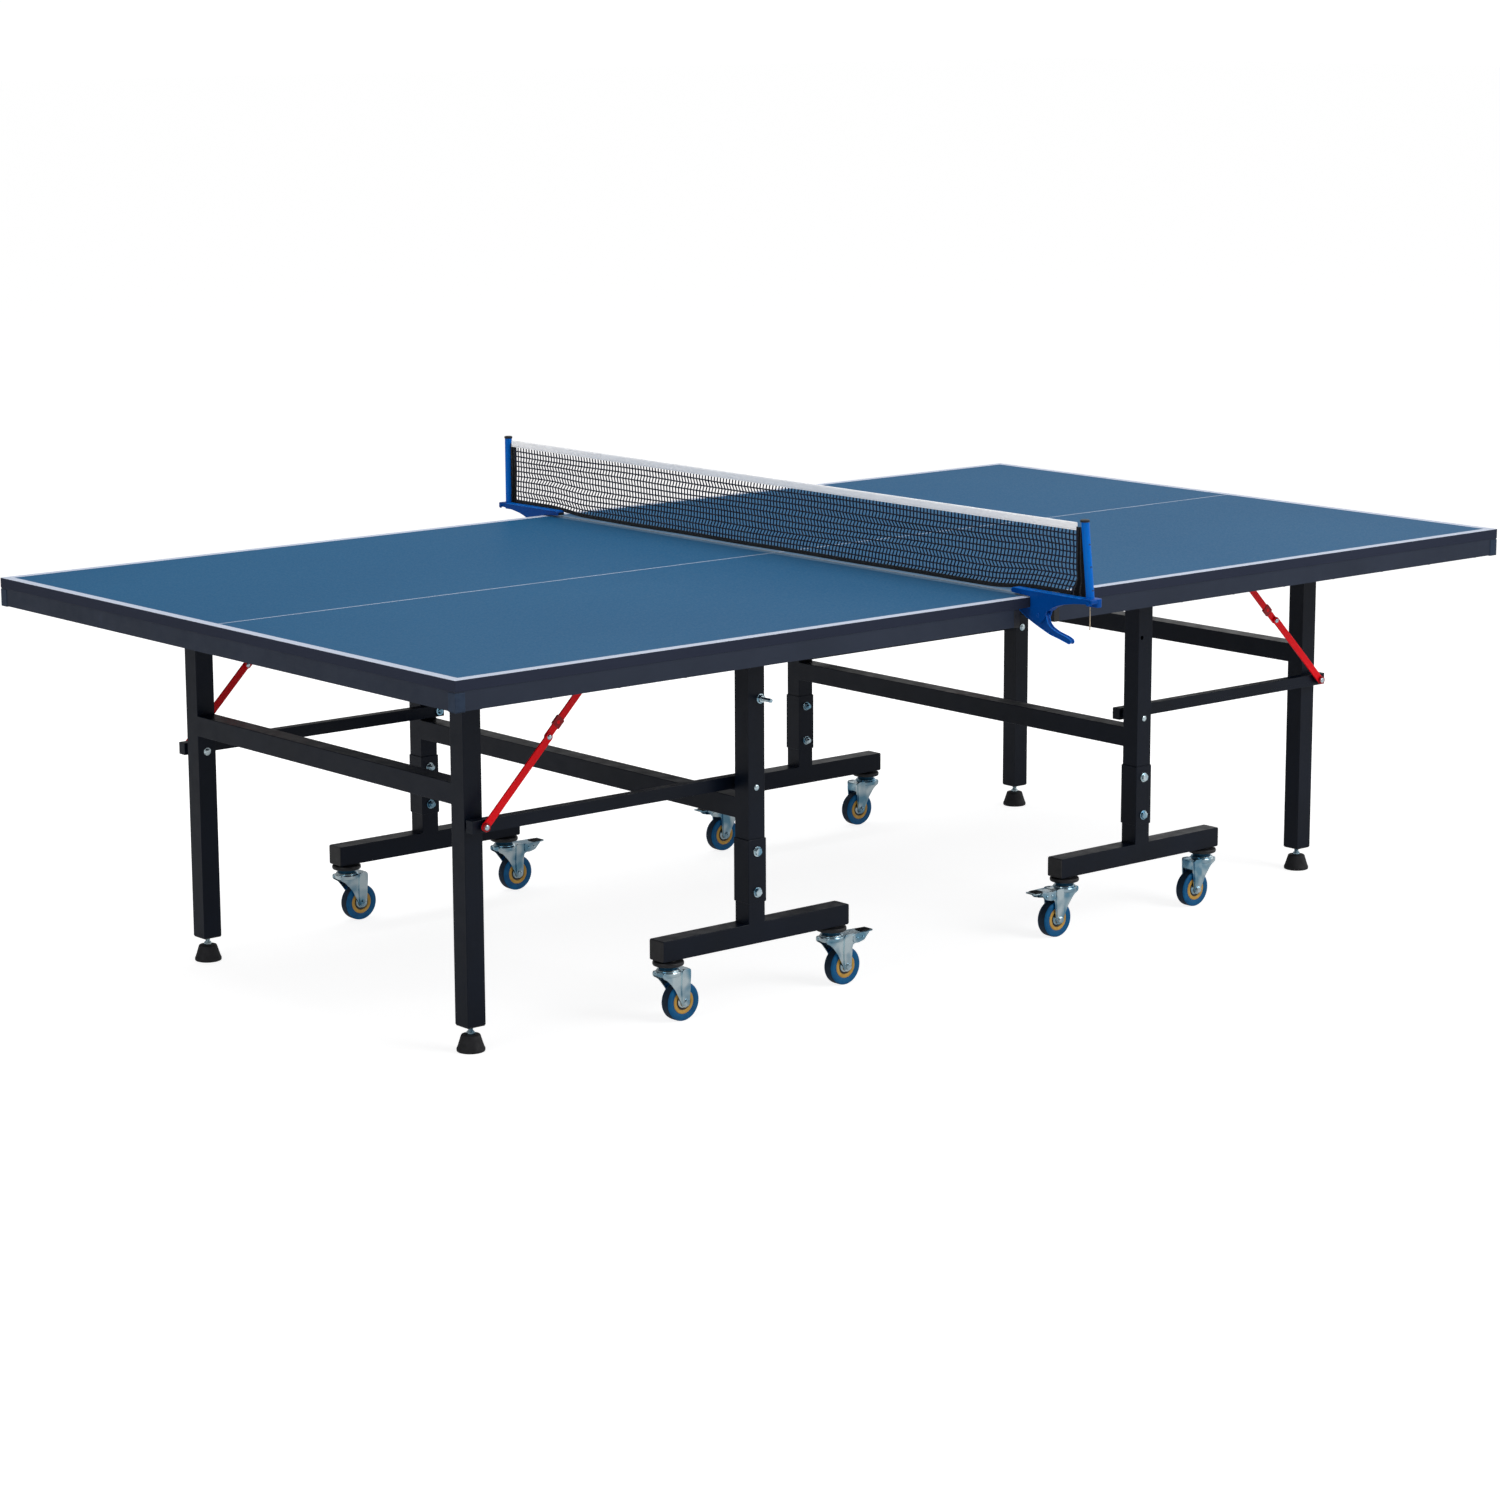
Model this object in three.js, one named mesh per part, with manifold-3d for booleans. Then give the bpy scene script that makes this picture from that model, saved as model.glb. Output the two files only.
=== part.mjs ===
// A folding ping pong table in two halves, each on its own wheeled carriage, with a clip-on net.
// Millimetres, +X along the table, +Y across it, +Z up, origin on the floor under the table's centre.
// One half is drawn at +X, and one side of it at +Y. The other half and side are mirror images.
import * as THREE from "three";
import { mergeVertices } from "three/addons/utils/BufferGeometryUtils.js";
import Module from "manifold-3d";

const wasm = await Module();
wasm.setup();

// ---- Driving dimensions ----
const TOP = { length: 2740, width: 1525, height: 760, board: 20, netGap: 2.5, chamfer: 1 };
const GAP = 0.3; // between pieces that touch
const RUNNING = 0.5; // clearance of a pivot pin, all round
const TUBE = 40; // square steel tube of the frames
const WALL = 2;
const APRON = { depth: 55, inset: 1, sheet: 2, flange: 20, netEnd: 47 };
const RAIL = { inner: 465, outer: 489, depth: 24 }; // two channels under the board, along X
const BRACKET = { reach: 20, sheet: 4, below: 12, offset: 16 }; // carries a pivot under a rail
const STAY_BRACKET = { reach: 15, sheet: 3, below: 11, pin: 4, head: 7 };
const CARRIAGE = { x: 522, y: 528, top: 702, crossTop: 404 };
const END_LEG = { x: 1118, y: 442, bottom: 50, top: 700, crossTop: 500 };
const BEAM = { from: 290, to: 750, bottom: 123 }; // floor beam of the T-shaped foot
const COLLAR = { bottom: 203, top: 326, joint: 264, size: 43.6, bolts: [223, 302] };
const LINK = { inner: 470, outer: 490, height: 24, tail: 13, nose: 22 };
const STAY = {
  lowerInner: 496.2,
  lowerOuter: 500,
  upperInner: 491.5,
  upperOuter: 495,
  lowerWidth: 15,
  upperWidth: 14,
  lowerLength: 206.5,
};
const PIN = { radius: 5, head: 9, spacer: 8, headDepth: 3.5 };
const BOLT = { radius: 4, head: 7 }; // foot bolts and caster axles
const HEX = 6; // sides of a bolt head, a nut or a small rivet
const CASTER = { inner: 317, outer: 723, trail: 28, wheel: 37.5, width: 24, disc: 29 };
const DISC = { bottom: 112, top: 120, boss: 16 }; // rubber disc between a caster and its beam
const FORK = { half: 16.5, sheet: 2.5, crown: 92, race: 103, raceTop: 111.5, stem: 5.5 };
const CROWN = { back: 24, front: 22, cup: 25, neck: 18, stemTop: 150 }; // about the swivel axis
const FOOT = { radius: 26.5, neck: 17.5, height: 32, rod: 5, rodTop: 110 };
const STUD = { x: 512, z: 594, radius: 4, length: 32, nut: 7.5, nutDepth: 7 };
const NET = { top: 912.5, bottom: 764, near: -893, nearTop: -879, far: 905 };
const TAPE = { depth: 15, near: -866, far: 901 };
const POST = { radius: 7.9, top: 920, bottom: 759 };
const NEAR_POST = { side: -1, y: 906, lean: 18.5 };
const FAR_POST = { side: 1, y: 915, lean: 0 };
const CLAMP = { from: -20, to: -3, pivotY: 785, pivotZ: 728, pin: 3, sheet: 3 };
const SOCKET = { inner: 901, outer: 927, bottom: 757, top: 771, reach: 12 }; // holds a net post
const CORD = { radius: 1, exitZ: 756.5, length: 45, y: -904 };

// Pivots of the fold, as [x, z]. Carriage, link and leg pivots make a parallelogram with the top's.
const LINK_Z = 427;
const TOP_PIVOT = [507, 688];
const LINK_PIVOT = [CARRIAGE.x, LINK_Z];
const LEG_LINK_PIVOT = [END_LEG.x, LINK_Z];
const LEG_TOP_PIVOT = [
  LEG_LINK_PIVOT[0] + TOP_PIVOT[0] - LINK_PIVOT[0],
  LEG_LINK_PIVOT[1] + TOP_PIVOT[1] - LINK_PIVOT[1],
];
const STAY_TOP_PIVOT = [832, 713];
const STAY_SPAN = Math.hypot(
  STAY_TOP_PIVOT[0] - LEG_LINK_PIVOT[0],
  STAY_TOP_PIVOT[1] - LEG_LINK_PIVOT[1],
);
const KNEE = LEG_LINK_PIVOT.map(
  (p, i) => p + ((STAY_TOP_PIVOT[i] - p) * STAY.lowerLength) / STAY_SPAN,
);

const BOARD_BOTTOM = TOP.height - TOP.board;
const APRON_TOP = BOARD_BOTTOM - GAP;
const APRON_BOTTOM = TOP.height - APRON.depth;
const HALF_WIDTH = TOP.width / 2;
const HALF_LENGTH = TOP.length / 2;
const HALF_TUBE = TUBE / 2;
const THROUGH = 1; // how far a cutter reaches past the face it cuts

// ---- Colours ----
const COLOURS = {
  board: [0x2f5578, 0.45, 0],
  frame: [0x14171d, 0.4, 0.3],
  apron: [0x23262f, 0.4, 0.3],
  stay: [0xc8141e, 0.4, 0.2],
  zinc: [0xa9b8c0, 0.3, 1],
  rubber: [0x111214, 0.8, 0],
  tyre: [0x0a5f98, 0.6, 0],
  netBlue: [0x0a4aa6, 0.35, 0.1],
  netting: [0x101624, 0.9, 0],
  tape: [0xf2f2f2, 0.9, 0],
  cord: [0xe6dccb, 0.9, 0],
};

// ---- Solids from three.js geometry ----

// A closed geometry as a manifold-3d solid.
function solid(geometry) {
  const bare = geometry.index ? geometry.toNonIndexed() : geometry.clone();
  bare.deleteAttribute("normal");
  bare.deleteAttribute("uv");
  const merged = mergeVertices(bare, 1e-4);
  return new wasm.Manifold(
    new wasm.Mesh({
      numProp: 3,
      vertProperties: merged.attributes.position.array,
      triVerts: new Uint32Array(merged.index.array),
    }),
  );
}

// A solid as a three.js geometry.
function geometryOf(shape) {
  const mesh = shape.getMesh();
  const geometry = new THREE.BufferGeometry();
  geometry.setAttribute("position", new THREE.BufferAttribute(mesh.vertProperties, 3));
  geometry.setIndex(new THREE.BufferAttribute(mesh.triVerts, 1));
  const flat = geometry.toNonIndexed();
  flat.computeVertexNormals();
  return flat;
}

const join = (...shapes) => shapes.reduce((sum, shape) => sum.add(shape));
const cut = (shape, ...cutters) => cutters.reduce((rest, cutter) => rest.subtract(cutter), shape);

// A box between two corners.
function block([x0, y0, z0], [x1, y1, z1]) {
  const box = new THREE.BoxGeometry(x1 - x0, y1 - y0, z1 - z0);
  return solid(box.translate((x0 + x1) / 2, (y0 + y1) / 2, (z0 + z1) / 2));
}

// The same box on both sides of the table.
function blockBothSides([x0, y0, z0], [x1, y1, z1]) {
  return join(block([x0, y0, z0], [x1, y1, z1]), block([x0, -y1, z0], [x1, -y0, z1]));
}

// A round rod along Y, at [x, z], between two values of y.
function rodY([x, z], radius, y0, y1, sides = 8) {
  const rod = new THREE.CylinderGeometry(radius, radius, y1 - y0, sides);
  return solid(rod.translate(x, (y0 + y1) / 2, z));
}

function rodYBothSides(at, radius, y0, y1, sides) {
  return join(rodY(at, radius, y0, y1, sides), rodY(at, radius, -y1, -y0, sides));
}

// A round rod along Z, at [x, y], between two heights.
function rodZ([x, y], radius, z0, z1, sides = 8) {
  const rod = new THREE.CylinderGeometry(radius, radius, z1 - z0, sides).rotateX(Math.PI / 2);
  return solid(rod.translate(x, y, (z0 + z1) / 2));
}

// A round rod along X, at [y, z], between two values of x.
function rodX([y, z], radius, x0, x1, sides = 8) {
  const rod = new THREE.CylinderGeometry(radius, radius, x1 - x0, sides).rotateZ(Math.PI / 2);
  return solid(rod.translate((x0 + x1) / 2, y, z));
}

// A turned piece about Z at [x, y]. The profile's [radius, z] points go from the axis to the axis.
function turnedZ([x, y], profile, sides = 12) {
  const points = profile.map(([r, z]) => new THREE.Vector2(r, z));
  return solid(new THREE.LatheGeometry(points, sides).rotateX(Math.PI / 2).translate(x, y, 0));
}

function shapeOf(points, holes = []) {
  const shape = new THREE.Shape(points.map(([a, b]) => new THREE.Vector2(a, b)));
  holes.forEach(([a, b, radius]) => {
    shape.holes.push(new THREE.Path().absarc(a, b, radius, 0, 2 * Math.PI, true));
  });
  return shape;
}

// An outline of [x, z] points, extruded between two values of y.
function plateXZ(points, y0, y1, holes = []) {
  const plate = new THREE.ExtrudeGeometry(shapeOf(points, holes), {
    depth: y1 - y0,
    bevelEnabled: false,
    curveSegments: 5,
  });
  return solid(plate.rotateX(Math.PI / 2).translate(0, y1, 0));
}

// An outline of [y, z] points, extruded between two values of x.
function plateYZ(points, x0, x1) {
  const plate = new THREE.ExtrudeGeometry(shapeOf(points), {
    depth: x1 - x0,
    bevelEnabled: false,
  });
  return solid(plate.rotateX(Math.PI / 2).rotateZ(Math.PI / 2).translate(x0, 0, 0));
}

// The outline of a flat bar with round ends, from one [x, z] point to another.
function barOutline(from, to, width, steps = 4) {
  const along = Math.atan2(to[1] - from[1], to[0] - from[0]);
  const arc = ([x, z], start) =>
    Array.from({ length: steps + 1 }, (_, i) => {
      const angle = start + (Math.PI * i) / steps;
      return [x + (width / 2) * Math.cos(angle), z + (width / 2) * Math.sin(angle)];
    });
  return [...arc(to, along - Math.PI / 2), ...arc(from, along + Math.PI / 2)];
}

// ---- Sub-parts of one half ----

function playingBoard() {
  const netEdge = TOP.netGap / 2;
  const outline = [
    [netEdge + TOP.chamfer, BOARD_BOTTOM],
    [HALF_LENGTH, BOARD_BOTTOM],
    [HALF_LENGTH, TOP.height],
    [netEdge + TOP.chamfer, TOP.height],
    [netEdge, TOP.height - TOP.chamfer],
    [netEdge, BOARD_BOTTOM + TOP.chamfer],
  ];
  return plateXZ(outline, -HALF_WIDTH, HALF_WIDTH);
}

// A channel along X on both sides, open towards the middle of the table.
function apronSides(outer, end) {
  const web = outer - APRON.sheet;
  const flange = outer - APRON.flange;
  return join(
    blockBothSides([APRON.netEnd, web, APRON_BOTTOM], [end, outer, APRON_TOP]),
    blockBothSides(
      [APRON.netEnd, flange, APRON_BOTTOM],
      [end, outer, APRON_BOTTOM + APRON.sheet],
    ),
    blockBothSides([APRON.netEnd, flange, APRON_TOP - APRON.sheet], [end, outer, APRON_TOP]),
    blockBothSides(
      [APRON.netEnd, flange, APRON_BOTTOM],
      [APRON.netEnd + APRON.sheet, outer, APRON_TOP],
    ),
  );
}

function apronEnd(outer, end) {
  const flange = end - APRON.flange;
  return join(
    block([end - APRON.sheet, -outer, APRON_BOTTOM], [end, outer, APRON_TOP]),
    block([flange, -outer, APRON_BOTTOM], [end, outer, APRON_BOTTOM + APRON.sheet]),
    block([flange, -outer, APRON_TOP - APRON.sheet], [end, outer, APRON_TOP]),
  );
}

// The channel across the table behind the net edge, and the two long rails, all open downwards.
function rails(outer, end) {
  const cross = APRON.netEnd + 13;
  const bottom = APRON_TOP - RAIL.depth;
  const roof = APRON_TOP - APRON.sheet;
  const width = RAIL.outer - RAIL.inner;
  const far = cross + width;
  return join(
    block([cross, -outer, bottom], [cross + APRON.sheet, outer, APRON_TOP]),
    block([far - APRON.sheet, -outer, bottom], [far, outer, APRON_TOP]),
    block([cross, -outer, roof], [far, outer, APRON_TOP]),
    blockBothSides([far - THROUGH, RAIL.inner, bottom], [end, RAIL.inner + APRON.sheet, APRON_TOP]),
    blockBothSides([far - THROUGH, RAIL.outer - APRON.sheet, bottom], [end, RAIL.outer, APRON_TOP]),
    blockBothSides([far - THROUGH, RAIL.inner, roof], [end, RAIL.outer, APRON_TOP]),
  );
}

// Plates that hang from the rails and carry the pivots of carriage, legs and stays.
function railBrackets() {
  const { reach, sheet, below } = BRACKET;
  const hole = PIN.radius + RUNNING;
  const plateOuter = RAIL.outer + BRACKET.offset;
  const stayPinEnd = STAY.upperOuter + 3;
  const [carriageX, carriageZ] = TOP_PIVOT;
  const [legX, legZ] = LEG_TOP_PIVOT;
  const [stayX, stayZ] = STAY_TOP_PIVOT;
  const brackets = join(
    blockBothSides(
      [carriageX - reach, plateOuter - sheet, carriageZ - below],
      [carriageX + reach, plateOuter, APRON_TOP],
    ),
    blockBothSides(
      [carriageX - reach, RAIL.outer - THROUGH, APRON_TOP - sheet],
      [carriageX + reach, plateOuter, APRON_TOP],
    ),
    blockBothSides(
      [legX - reach, RAIL.inner, legZ - below],
      [legX + reach, RAIL.inner + sheet, APRON_TOP - THROUGH],
    ),
    blockBothSides(
      [stayX - STAY_BRACKET.reach, RAIL.outer - STAY_BRACKET.sheet, stayZ - STAY_BRACKET.below],
      [stayX + STAY_BRACKET.reach, RAIL.outer, APRON_TOP - THROUGH],
    ),
    rodYBothSides(STAY_TOP_PIVOT, STAY_BRACKET.pin, RAIL.outer - 2, stayPinEnd, HEX),
    rodYBothSides(
      STAY_TOP_PIVOT,
      STAY_BRACKET.head,
      STAY.upperOuter + RUNNING,
      stayPinEnd,
      HEX,
    ),
  );
  return cut(
    brackets,
    rodYBothSides(TOP_PIVOT, hole, plateOuter - sheet - THROUGH, plateOuter + THROUGH),
    rodYBothSides(
      LEG_TOP_PIVOT,
      hole,
      RAIL.inner - THROUGH,
      RAIL.inner + sheet + THROUGH,
    ),
  );
}

function apronFrame() {
  const outer = HALF_WIDTH - APRON.inset;
  const end = HALF_LENGTH - APRON.inset;
  return join(apronSides(outer, end), apronEnd(outer, end), rails(outer, end), railBrackets());
}

// Two square posts and the square tube that joins them across the table, hollow and vented.
function crossedPosts({ x, y, bottom, top, crossTop }, openBottom) {
  const post = [
    [x - HALF_TUBE, y - HALF_TUBE, bottom],
    [x + HALF_TUBE, y + HALF_TUBE, top],
  ];
  const floor = openBottom ? bottom - THROUGH : bottom + 2 * WALL;
  const crossBottom = crossTop - TUBE;
  return cut(
    join(
      blockBothSides(...post),
      block([x - HALF_TUBE, -y, crossBottom], [x + HALF_TUBE, y, crossTop]),
    ),
    blockBothSides(
      [x - HALF_TUBE + WALL, y - HALF_TUBE + WALL, floor],
      [x + HALF_TUBE - WALL, y + HALF_TUBE - WALL, top - 2 * WALL],
    ),
    block(
      [x - HALF_TUBE + WALL, HALF_TUBE - y, crossBottom + WALL],
      [x + HALF_TUBE - WALL, y - HALF_TUBE, crossTop - WALL],
    ),
    rodZ([x, 0], 3, crossBottom - THROUGH, crossBottom + WALL + THROUGH, 8),
  );
}

function carriageFrame() {
  const inner = CARRIAGE.y - HALF_TUBE;
  const outer = CARRIAGE.y + HALF_TUBE;
  const posts = crossedPosts({ ...CARRIAGE, bottom: COLLAR.joint + 2 * GAP }, true);
  const topPlateInner = RAIL.outer + BRACKET.offset - BRACKET.sheet;
  const pins = join(
    rodYBothSides(TOP_PIVOT, PIN.radius, topPlateInner - PIN.headDepth, inner + WALL),
    rodYBothSides(
      TOP_PIVOT,
      PIN.head - 1,
      topPlateInner - PIN.headDepth,
      topPlateInner - RUNNING,
      HEX,
    ),
    rodYBothSides(LINK_PIVOT, PIN.radius, LINK.inner - PIN.headDepth, inner + WALL),
    rodYBothSides(LINK_PIVOT, PIN.spacer, LINK.outer + RUNNING, inner + WALL / 2, HEX),
    rodYBothSides(
      LINK_PIVOT,
      PIN.head,
      LINK.inner - PIN.headDepth,
      LINK.inner - RUNNING,
      HEX,
    ),
  );
  const boltHole = rodYBothSides(
    [CARRIAGE.x, COLLAR.bolts[1]],
    BOLT.radius + 2 * GAP,
    inner - THROUGH,
    outer + THROUGH,
  );
  const lockHole = rodYBothSides([STUD.x, STUD.z], STUD.radius + GAP, outer - 5, outer + 2);
  return cut(join(posts, pins), boltHole, lockHole);
}

// One T-shaped foot: floor beam, stub, sleeve with its two bolts, and the caster sockets.
function tFoot() {
  const { x, y } = CARRIAGE;
  const beamTop = BEAM.bottom + TUBE;
  const inside = HALF_TUBE - WALL;
  const sleeve = COLLAR.size / 2;
  const bore = HALF_TUBE + GAP;
  const body = join(
    block([BEAM.from, y - HALF_TUBE, BEAM.bottom], [BEAM.to, y + HALF_TUBE, beamTop]),
    block(
      [x - HALF_TUBE, y - HALF_TUBE, beamTop - WALL],
      [x + HALF_TUBE, y + HALF_TUBE, COLLAR.joint],
    ),
    block([x - sleeve, y - sleeve, COLLAR.bottom], [x + sleeve, y + sleeve, COLLAR.top]),
    ...[CASTER.inner, CASTER.outer].map((at) =>
      turnedZ([at, y], [
        [0, DISC.bottom],
        [CASTER.disc, DISC.bottom],
        [CASTER.disc, DISC.top],
        [DISC.boss, DISC.top + 1],
        [DISC.boss, BEAM.bottom + WALL],
        [0, BEAM.bottom + WALL],
      ]),
    ),
  );
  const hollow = cut(
    body,
    block(
      [BEAM.from + 2 * WALL, y - inside, BEAM.bottom + WALL],
      [BEAM.to - 2 * WALL, y + inside, beamTop - WALL],
    ),
    block(
      [x - inside, y - inside, beamTop + WALL],
      [x + inside, y + inside, COLLAR.joint + THROUGH],
    ),
    block([x - bore, y - bore, COLLAR.joint], [x + bore, y + bore, COLLAR.top + THROUGH]),
    ...[CASTER.inner, CASTER.outer].map((at) =>
      rodZ([at, y], FORK.stem + RUNNING, 100, BEAM.bottom + WALL + THROUGH),
    ),
  );
  const bolts = COLLAR.bolts.map((z) =>
    join(
      rodY([x, z], BOLT.radius, y - sleeve - 9, y + sleeve + 4, HEX),
      rodY([x, z], BOLT.head, y + sleeve - 1, y + sleeve + 5, HEX),
      rodY([x, z], BOLT.head, y - sleeve - 6, y - sleeve + 1, HEX),
    ),
  );
  return join(hollow, ...bolts);
}

function endLegFrame() {
  const outer = END_LEG.y + HALF_TUBE;
  const plateOuter = RAIL.inner + BRACKET.sheet;
  const posts = crossedPosts(END_LEG, false);
  const footHole = (side) =>
    rodZ([END_LEG.x, side * END_LEG.y], FOOT.rod + RUNNING, 40, END_LEG.bottom + 3 * WALL);
  const pins = join(
    rodYBothSides(LEG_TOP_PIVOT, PIN.radius, outer - WALL, plateOuter + PIN.headDepth),
    rodYBothSides(
      LEG_TOP_PIVOT,
      PIN.head - 1,
      plateOuter + RUNNING,
      plateOuter + PIN.headDepth,
      HEX,
    ),
    rodYBothSides(LEG_LINK_PIVOT, PIN.radius, outer - WALL, STAY.lowerOuter + PIN.headDepth),
    rodYBothSides(LEG_LINK_PIVOT, PIN.spacer, outer - WALL / 2, LINK.inner - RUNNING, HEX),
    rodYBothSides(
      LEG_LINK_PIVOT,
      PIN.spacer,
      LINK.outer + RUNNING,
      STAY.lowerInner - RUNNING,
      HEX,
    ),
    rodYBothSides(
      LEG_LINK_PIVOT,
      PIN.spacer,
      STAY.lowerOuter + RUNNING,
      STAY.lowerOuter + PIN.headDepth,
      HEX,
    ),
  );
  return cut(join(posts, pins), footHole(1), footHole(-1));
}

// A rubber foot on its threaded rod, which screws into the end of a leg.
function levellingFoot() {
  const profile = [
    [0, 0],
    [FOOT.radius - 1, 0],
    [FOOT.radius, 2],
    [FOOT.radius, 6],
    [FOOT.neck, FOOT.height],
    [8.5, FOOT.height],
    [8.5, FOOT.height + 6],
    [FOOT.rod, FOOT.height + 6],
    [FOOT.rod, FOOT.rodTop],
    [0, FOOT.rodTop],
  ];
  return turnedZ([END_LEG.x, END_LEG.y], profile, 12);
}

function linkBar() {
  const from = LINK_PIVOT[0] - LINK.tail;
  const to = LEG_LINK_PIVOT[0] + LINK.nose;
  const half = LINK.height / 2;
  const hole = PIN.radius + RUNNING;
  return cut(
    block([from, LINK.inner, LINK_Z - half], [to, LINK.outer, LINK_Z + half]),
    block(
      [from + 2 * WALL, LINK.inner + WALL, LINK_Z - half + WALL],
      [to - 2 * WALL, LINK.outer - WALL, LINK_Z + half - WALL],
    ),
    rodY(LINK_PIVOT, hole, LINK.inner - THROUGH, LINK.outer + THROUGH),
    rodY(LEG_LINK_PIVOT, hole, LINK.inner - THROUGH, LINK.outer + THROUGH),
  );
}

function stayLower() {
  const outline = barOutline(LEG_LINK_PIVOT, KNEE, STAY.lowerWidth);
  return join(
    plateXZ(outline, STAY.lowerInner, STAY.lowerOuter, [
      [...LEG_LINK_PIVOT, PIN.radius + RUNNING],
    ]),
    rodY(KNEE, 5.5, STAY.lowerOuter - 1, STAY.lowerOuter + 2.5, HEX),
  );
}

function stayUpper() {
  const outline = barOutline(KNEE, STAY_TOP_PIVOT, STAY.upperWidth);
  const along = (distance) =>
    KNEE.map((p, i) => p + ((STAY_TOP_PIVOT[i] - p) * distance) / (STAY_SPAN - STAY.lowerLength));
  return join(
    plateXZ(outline, STAY.upperInner, STAY.upperOuter, [
      [...STAY_TOP_PIVOT, STAY_BRACKET.pin + RUNNING],
    ]),
    plateXZ(barOutline(along(30), along(38), 20), STAY.upperInner, STAY.upperOuter + 0.8),
  );
}

// A caster fork on its swivel stem. Its cheeks hold the axle, behind the swivel axis.
function casterFork(at, braked) {
  const y = CARRIAGE.y;
  const axle = [at - CASTER.trail, CASTER.wheel];
  const cheekInner = FORK.half - FORK.sheet;
  const ears = [
    [at - 30, 96],
    [at - 62, 95],
    [at - 62, 84],
  ];
  const outline = [
    [at + CROWN.front, FORK.race],
    [at - CROWN.back, FORK.race],
    ...(braked ? ears : []),
    [at - 38, 80],
    [axle[0] - 9, axle[1]],
    [axle[0] - 5, axle[1] - 8],
    [axle[0] + 5, axle[1] - 8],
    [axle[0] + 9, axle[1]],
    [at + 16, 84],
    [at + CROWN.front, FORK.crown],
  ];
  return join(
    plateXZ(outline, y + cheekInner, y + FORK.half),
    plateXZ(outline, y - FORK.half, y - cheekInner),
    block(
      [at - CROWN.back, y - FORK.half, FORK.crown],
      [at + CROWN.front, y + FORK.half, FORK.race],
    ),
    turnedZ([at, y], [
      [0, FORK.crown],
      [CROWN.cup, FORK.crown],
      [CROWN.cup, FORK.race],
      [CROWN.neck, FORK.raceTop],
      [FORK.stem, FORK.raceTop],
      [FORK.stem, CROWN.stemTop],
      [0, CROWN.stemTop],
    ]),
    rodY(axle, BOLT.radius, y - FORK.half - 5, y + FORK.half + 5),
    rodY(axle, BOLT.head, y + FORK.half - 1, y + FORK.half + 4, HEX),
    rodY(axle, BOLT.head, y - FORK.half - 4, y - FORK.half + 1, HEX),
  );
}

function casterWheel(at) {
  const half = CASTER.width / 2;
  const bore = BOLT.radius + RUNNING;
  const profile = [
    [bore, -half],
    [CASTER.wheel - 3, -half],
    [CASTER.wheel, -half + 4],
    [CASTER.wheel, half - 4],
    [CASTER.wheel - 3, half],
    [bore, half],
    [bore, -half],
  ];
  const points = profile.map(([r, along]) => new THREE.Vector2(r, along));
  const wheel = new THREE.LatheGeometry(points, 20);
  return solid(wheel.translate(at - CASTER.trail, CARRIAGE.y, CASTER.wheel));
}

// The foot pedal of a braked caster: a bent plate over the fork's two ears.
function brakePedal(at) {
  const y = CARRIAGE.y;
  const inner = FORK.half + GAP;
  const outer = inner + 2;
  const side = [
    [at - 44, 98],
    [at - 92, 98],
    [at - 66, 82],
    [at - 50, 82],
  ];
  const pivot = [at - 55, 89];
  return join(
    plateXZ(side, y + inner, y + outer),
    plateXZ(side, y - outer, y - inner),
    block([at - 97, y - outer, 97], [at - 42, y + outer, 100]),
    rodY(pivot, BOLT.radius, y - outer - 2, y - outer + 1, HEX),
    rodY(pivot, BOLT.radius, y + outer - 1, y + outer + 2, HEX),
  );
}

// ---- Net set, clamped to the left half ----

// A post and its clamp arm, for side 1 (far) or -1 (near). lean moves its top towards the middle.
function postAndBracket({ side, y: postY, lean }) {
  const arm = [
    [711, 763],
    [711, 771],
    [716, 774],
    [905, 773],
    [927, 773],
    [927, 763],
    [890, 761.5],
    [852, 756],
    [825, 748],
    [808, 742],
    [764, 742],
    [764, 761],
  ].map(([y, z]) => [side * y, z]);
  const ear = [
    [764, 743],
    [808, 743],
    [798, 718],
    [790, 712],
    [770, 718],
    [764, 724],
  ].map(([y, z]) => [side * y, z]);
  const socketEnds = [side * SOCKET.inner, side * SOCKET.outer];
  const tilt = Math.atan2(lean, POST.top - POST.bottom);
  const length = (POST.top - POST.bottom) / Math.cos(tilt);
  const post = new THREE.CylinderGeometry(POST.radius, POST.radius, length, 16)
    .rotateX(Math.PI / 2)
    .translate(0, 0, length / 2)
    .rotateX(side * tilt)
    .translate(0, side * postY, POST.bottom);
  return join(
    plateYZ(arm, CLAMP.from, CLAMP.to),
    plateYZ(ear, CLAMP.from, CLAMP.from + CLAMP.sheet),
    plateYZ(ear, CLAMP.to - CLAMP.sheet, CLAMP.to),
    rodX([side * CLAMP.pivotY, CLAMP.pivotZ], CLAMP.pin, CLAMP.from - 2, CLAMP.to + 1),
    block(
      [CLAMP.to - THROUGH, Math.min(...socketEnds), SOCKET.bottom],
      [SOCKET.reach, Math.max(...socketEnds), SOCKET.top],
    ),
    solid(post),
  );
}

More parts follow.
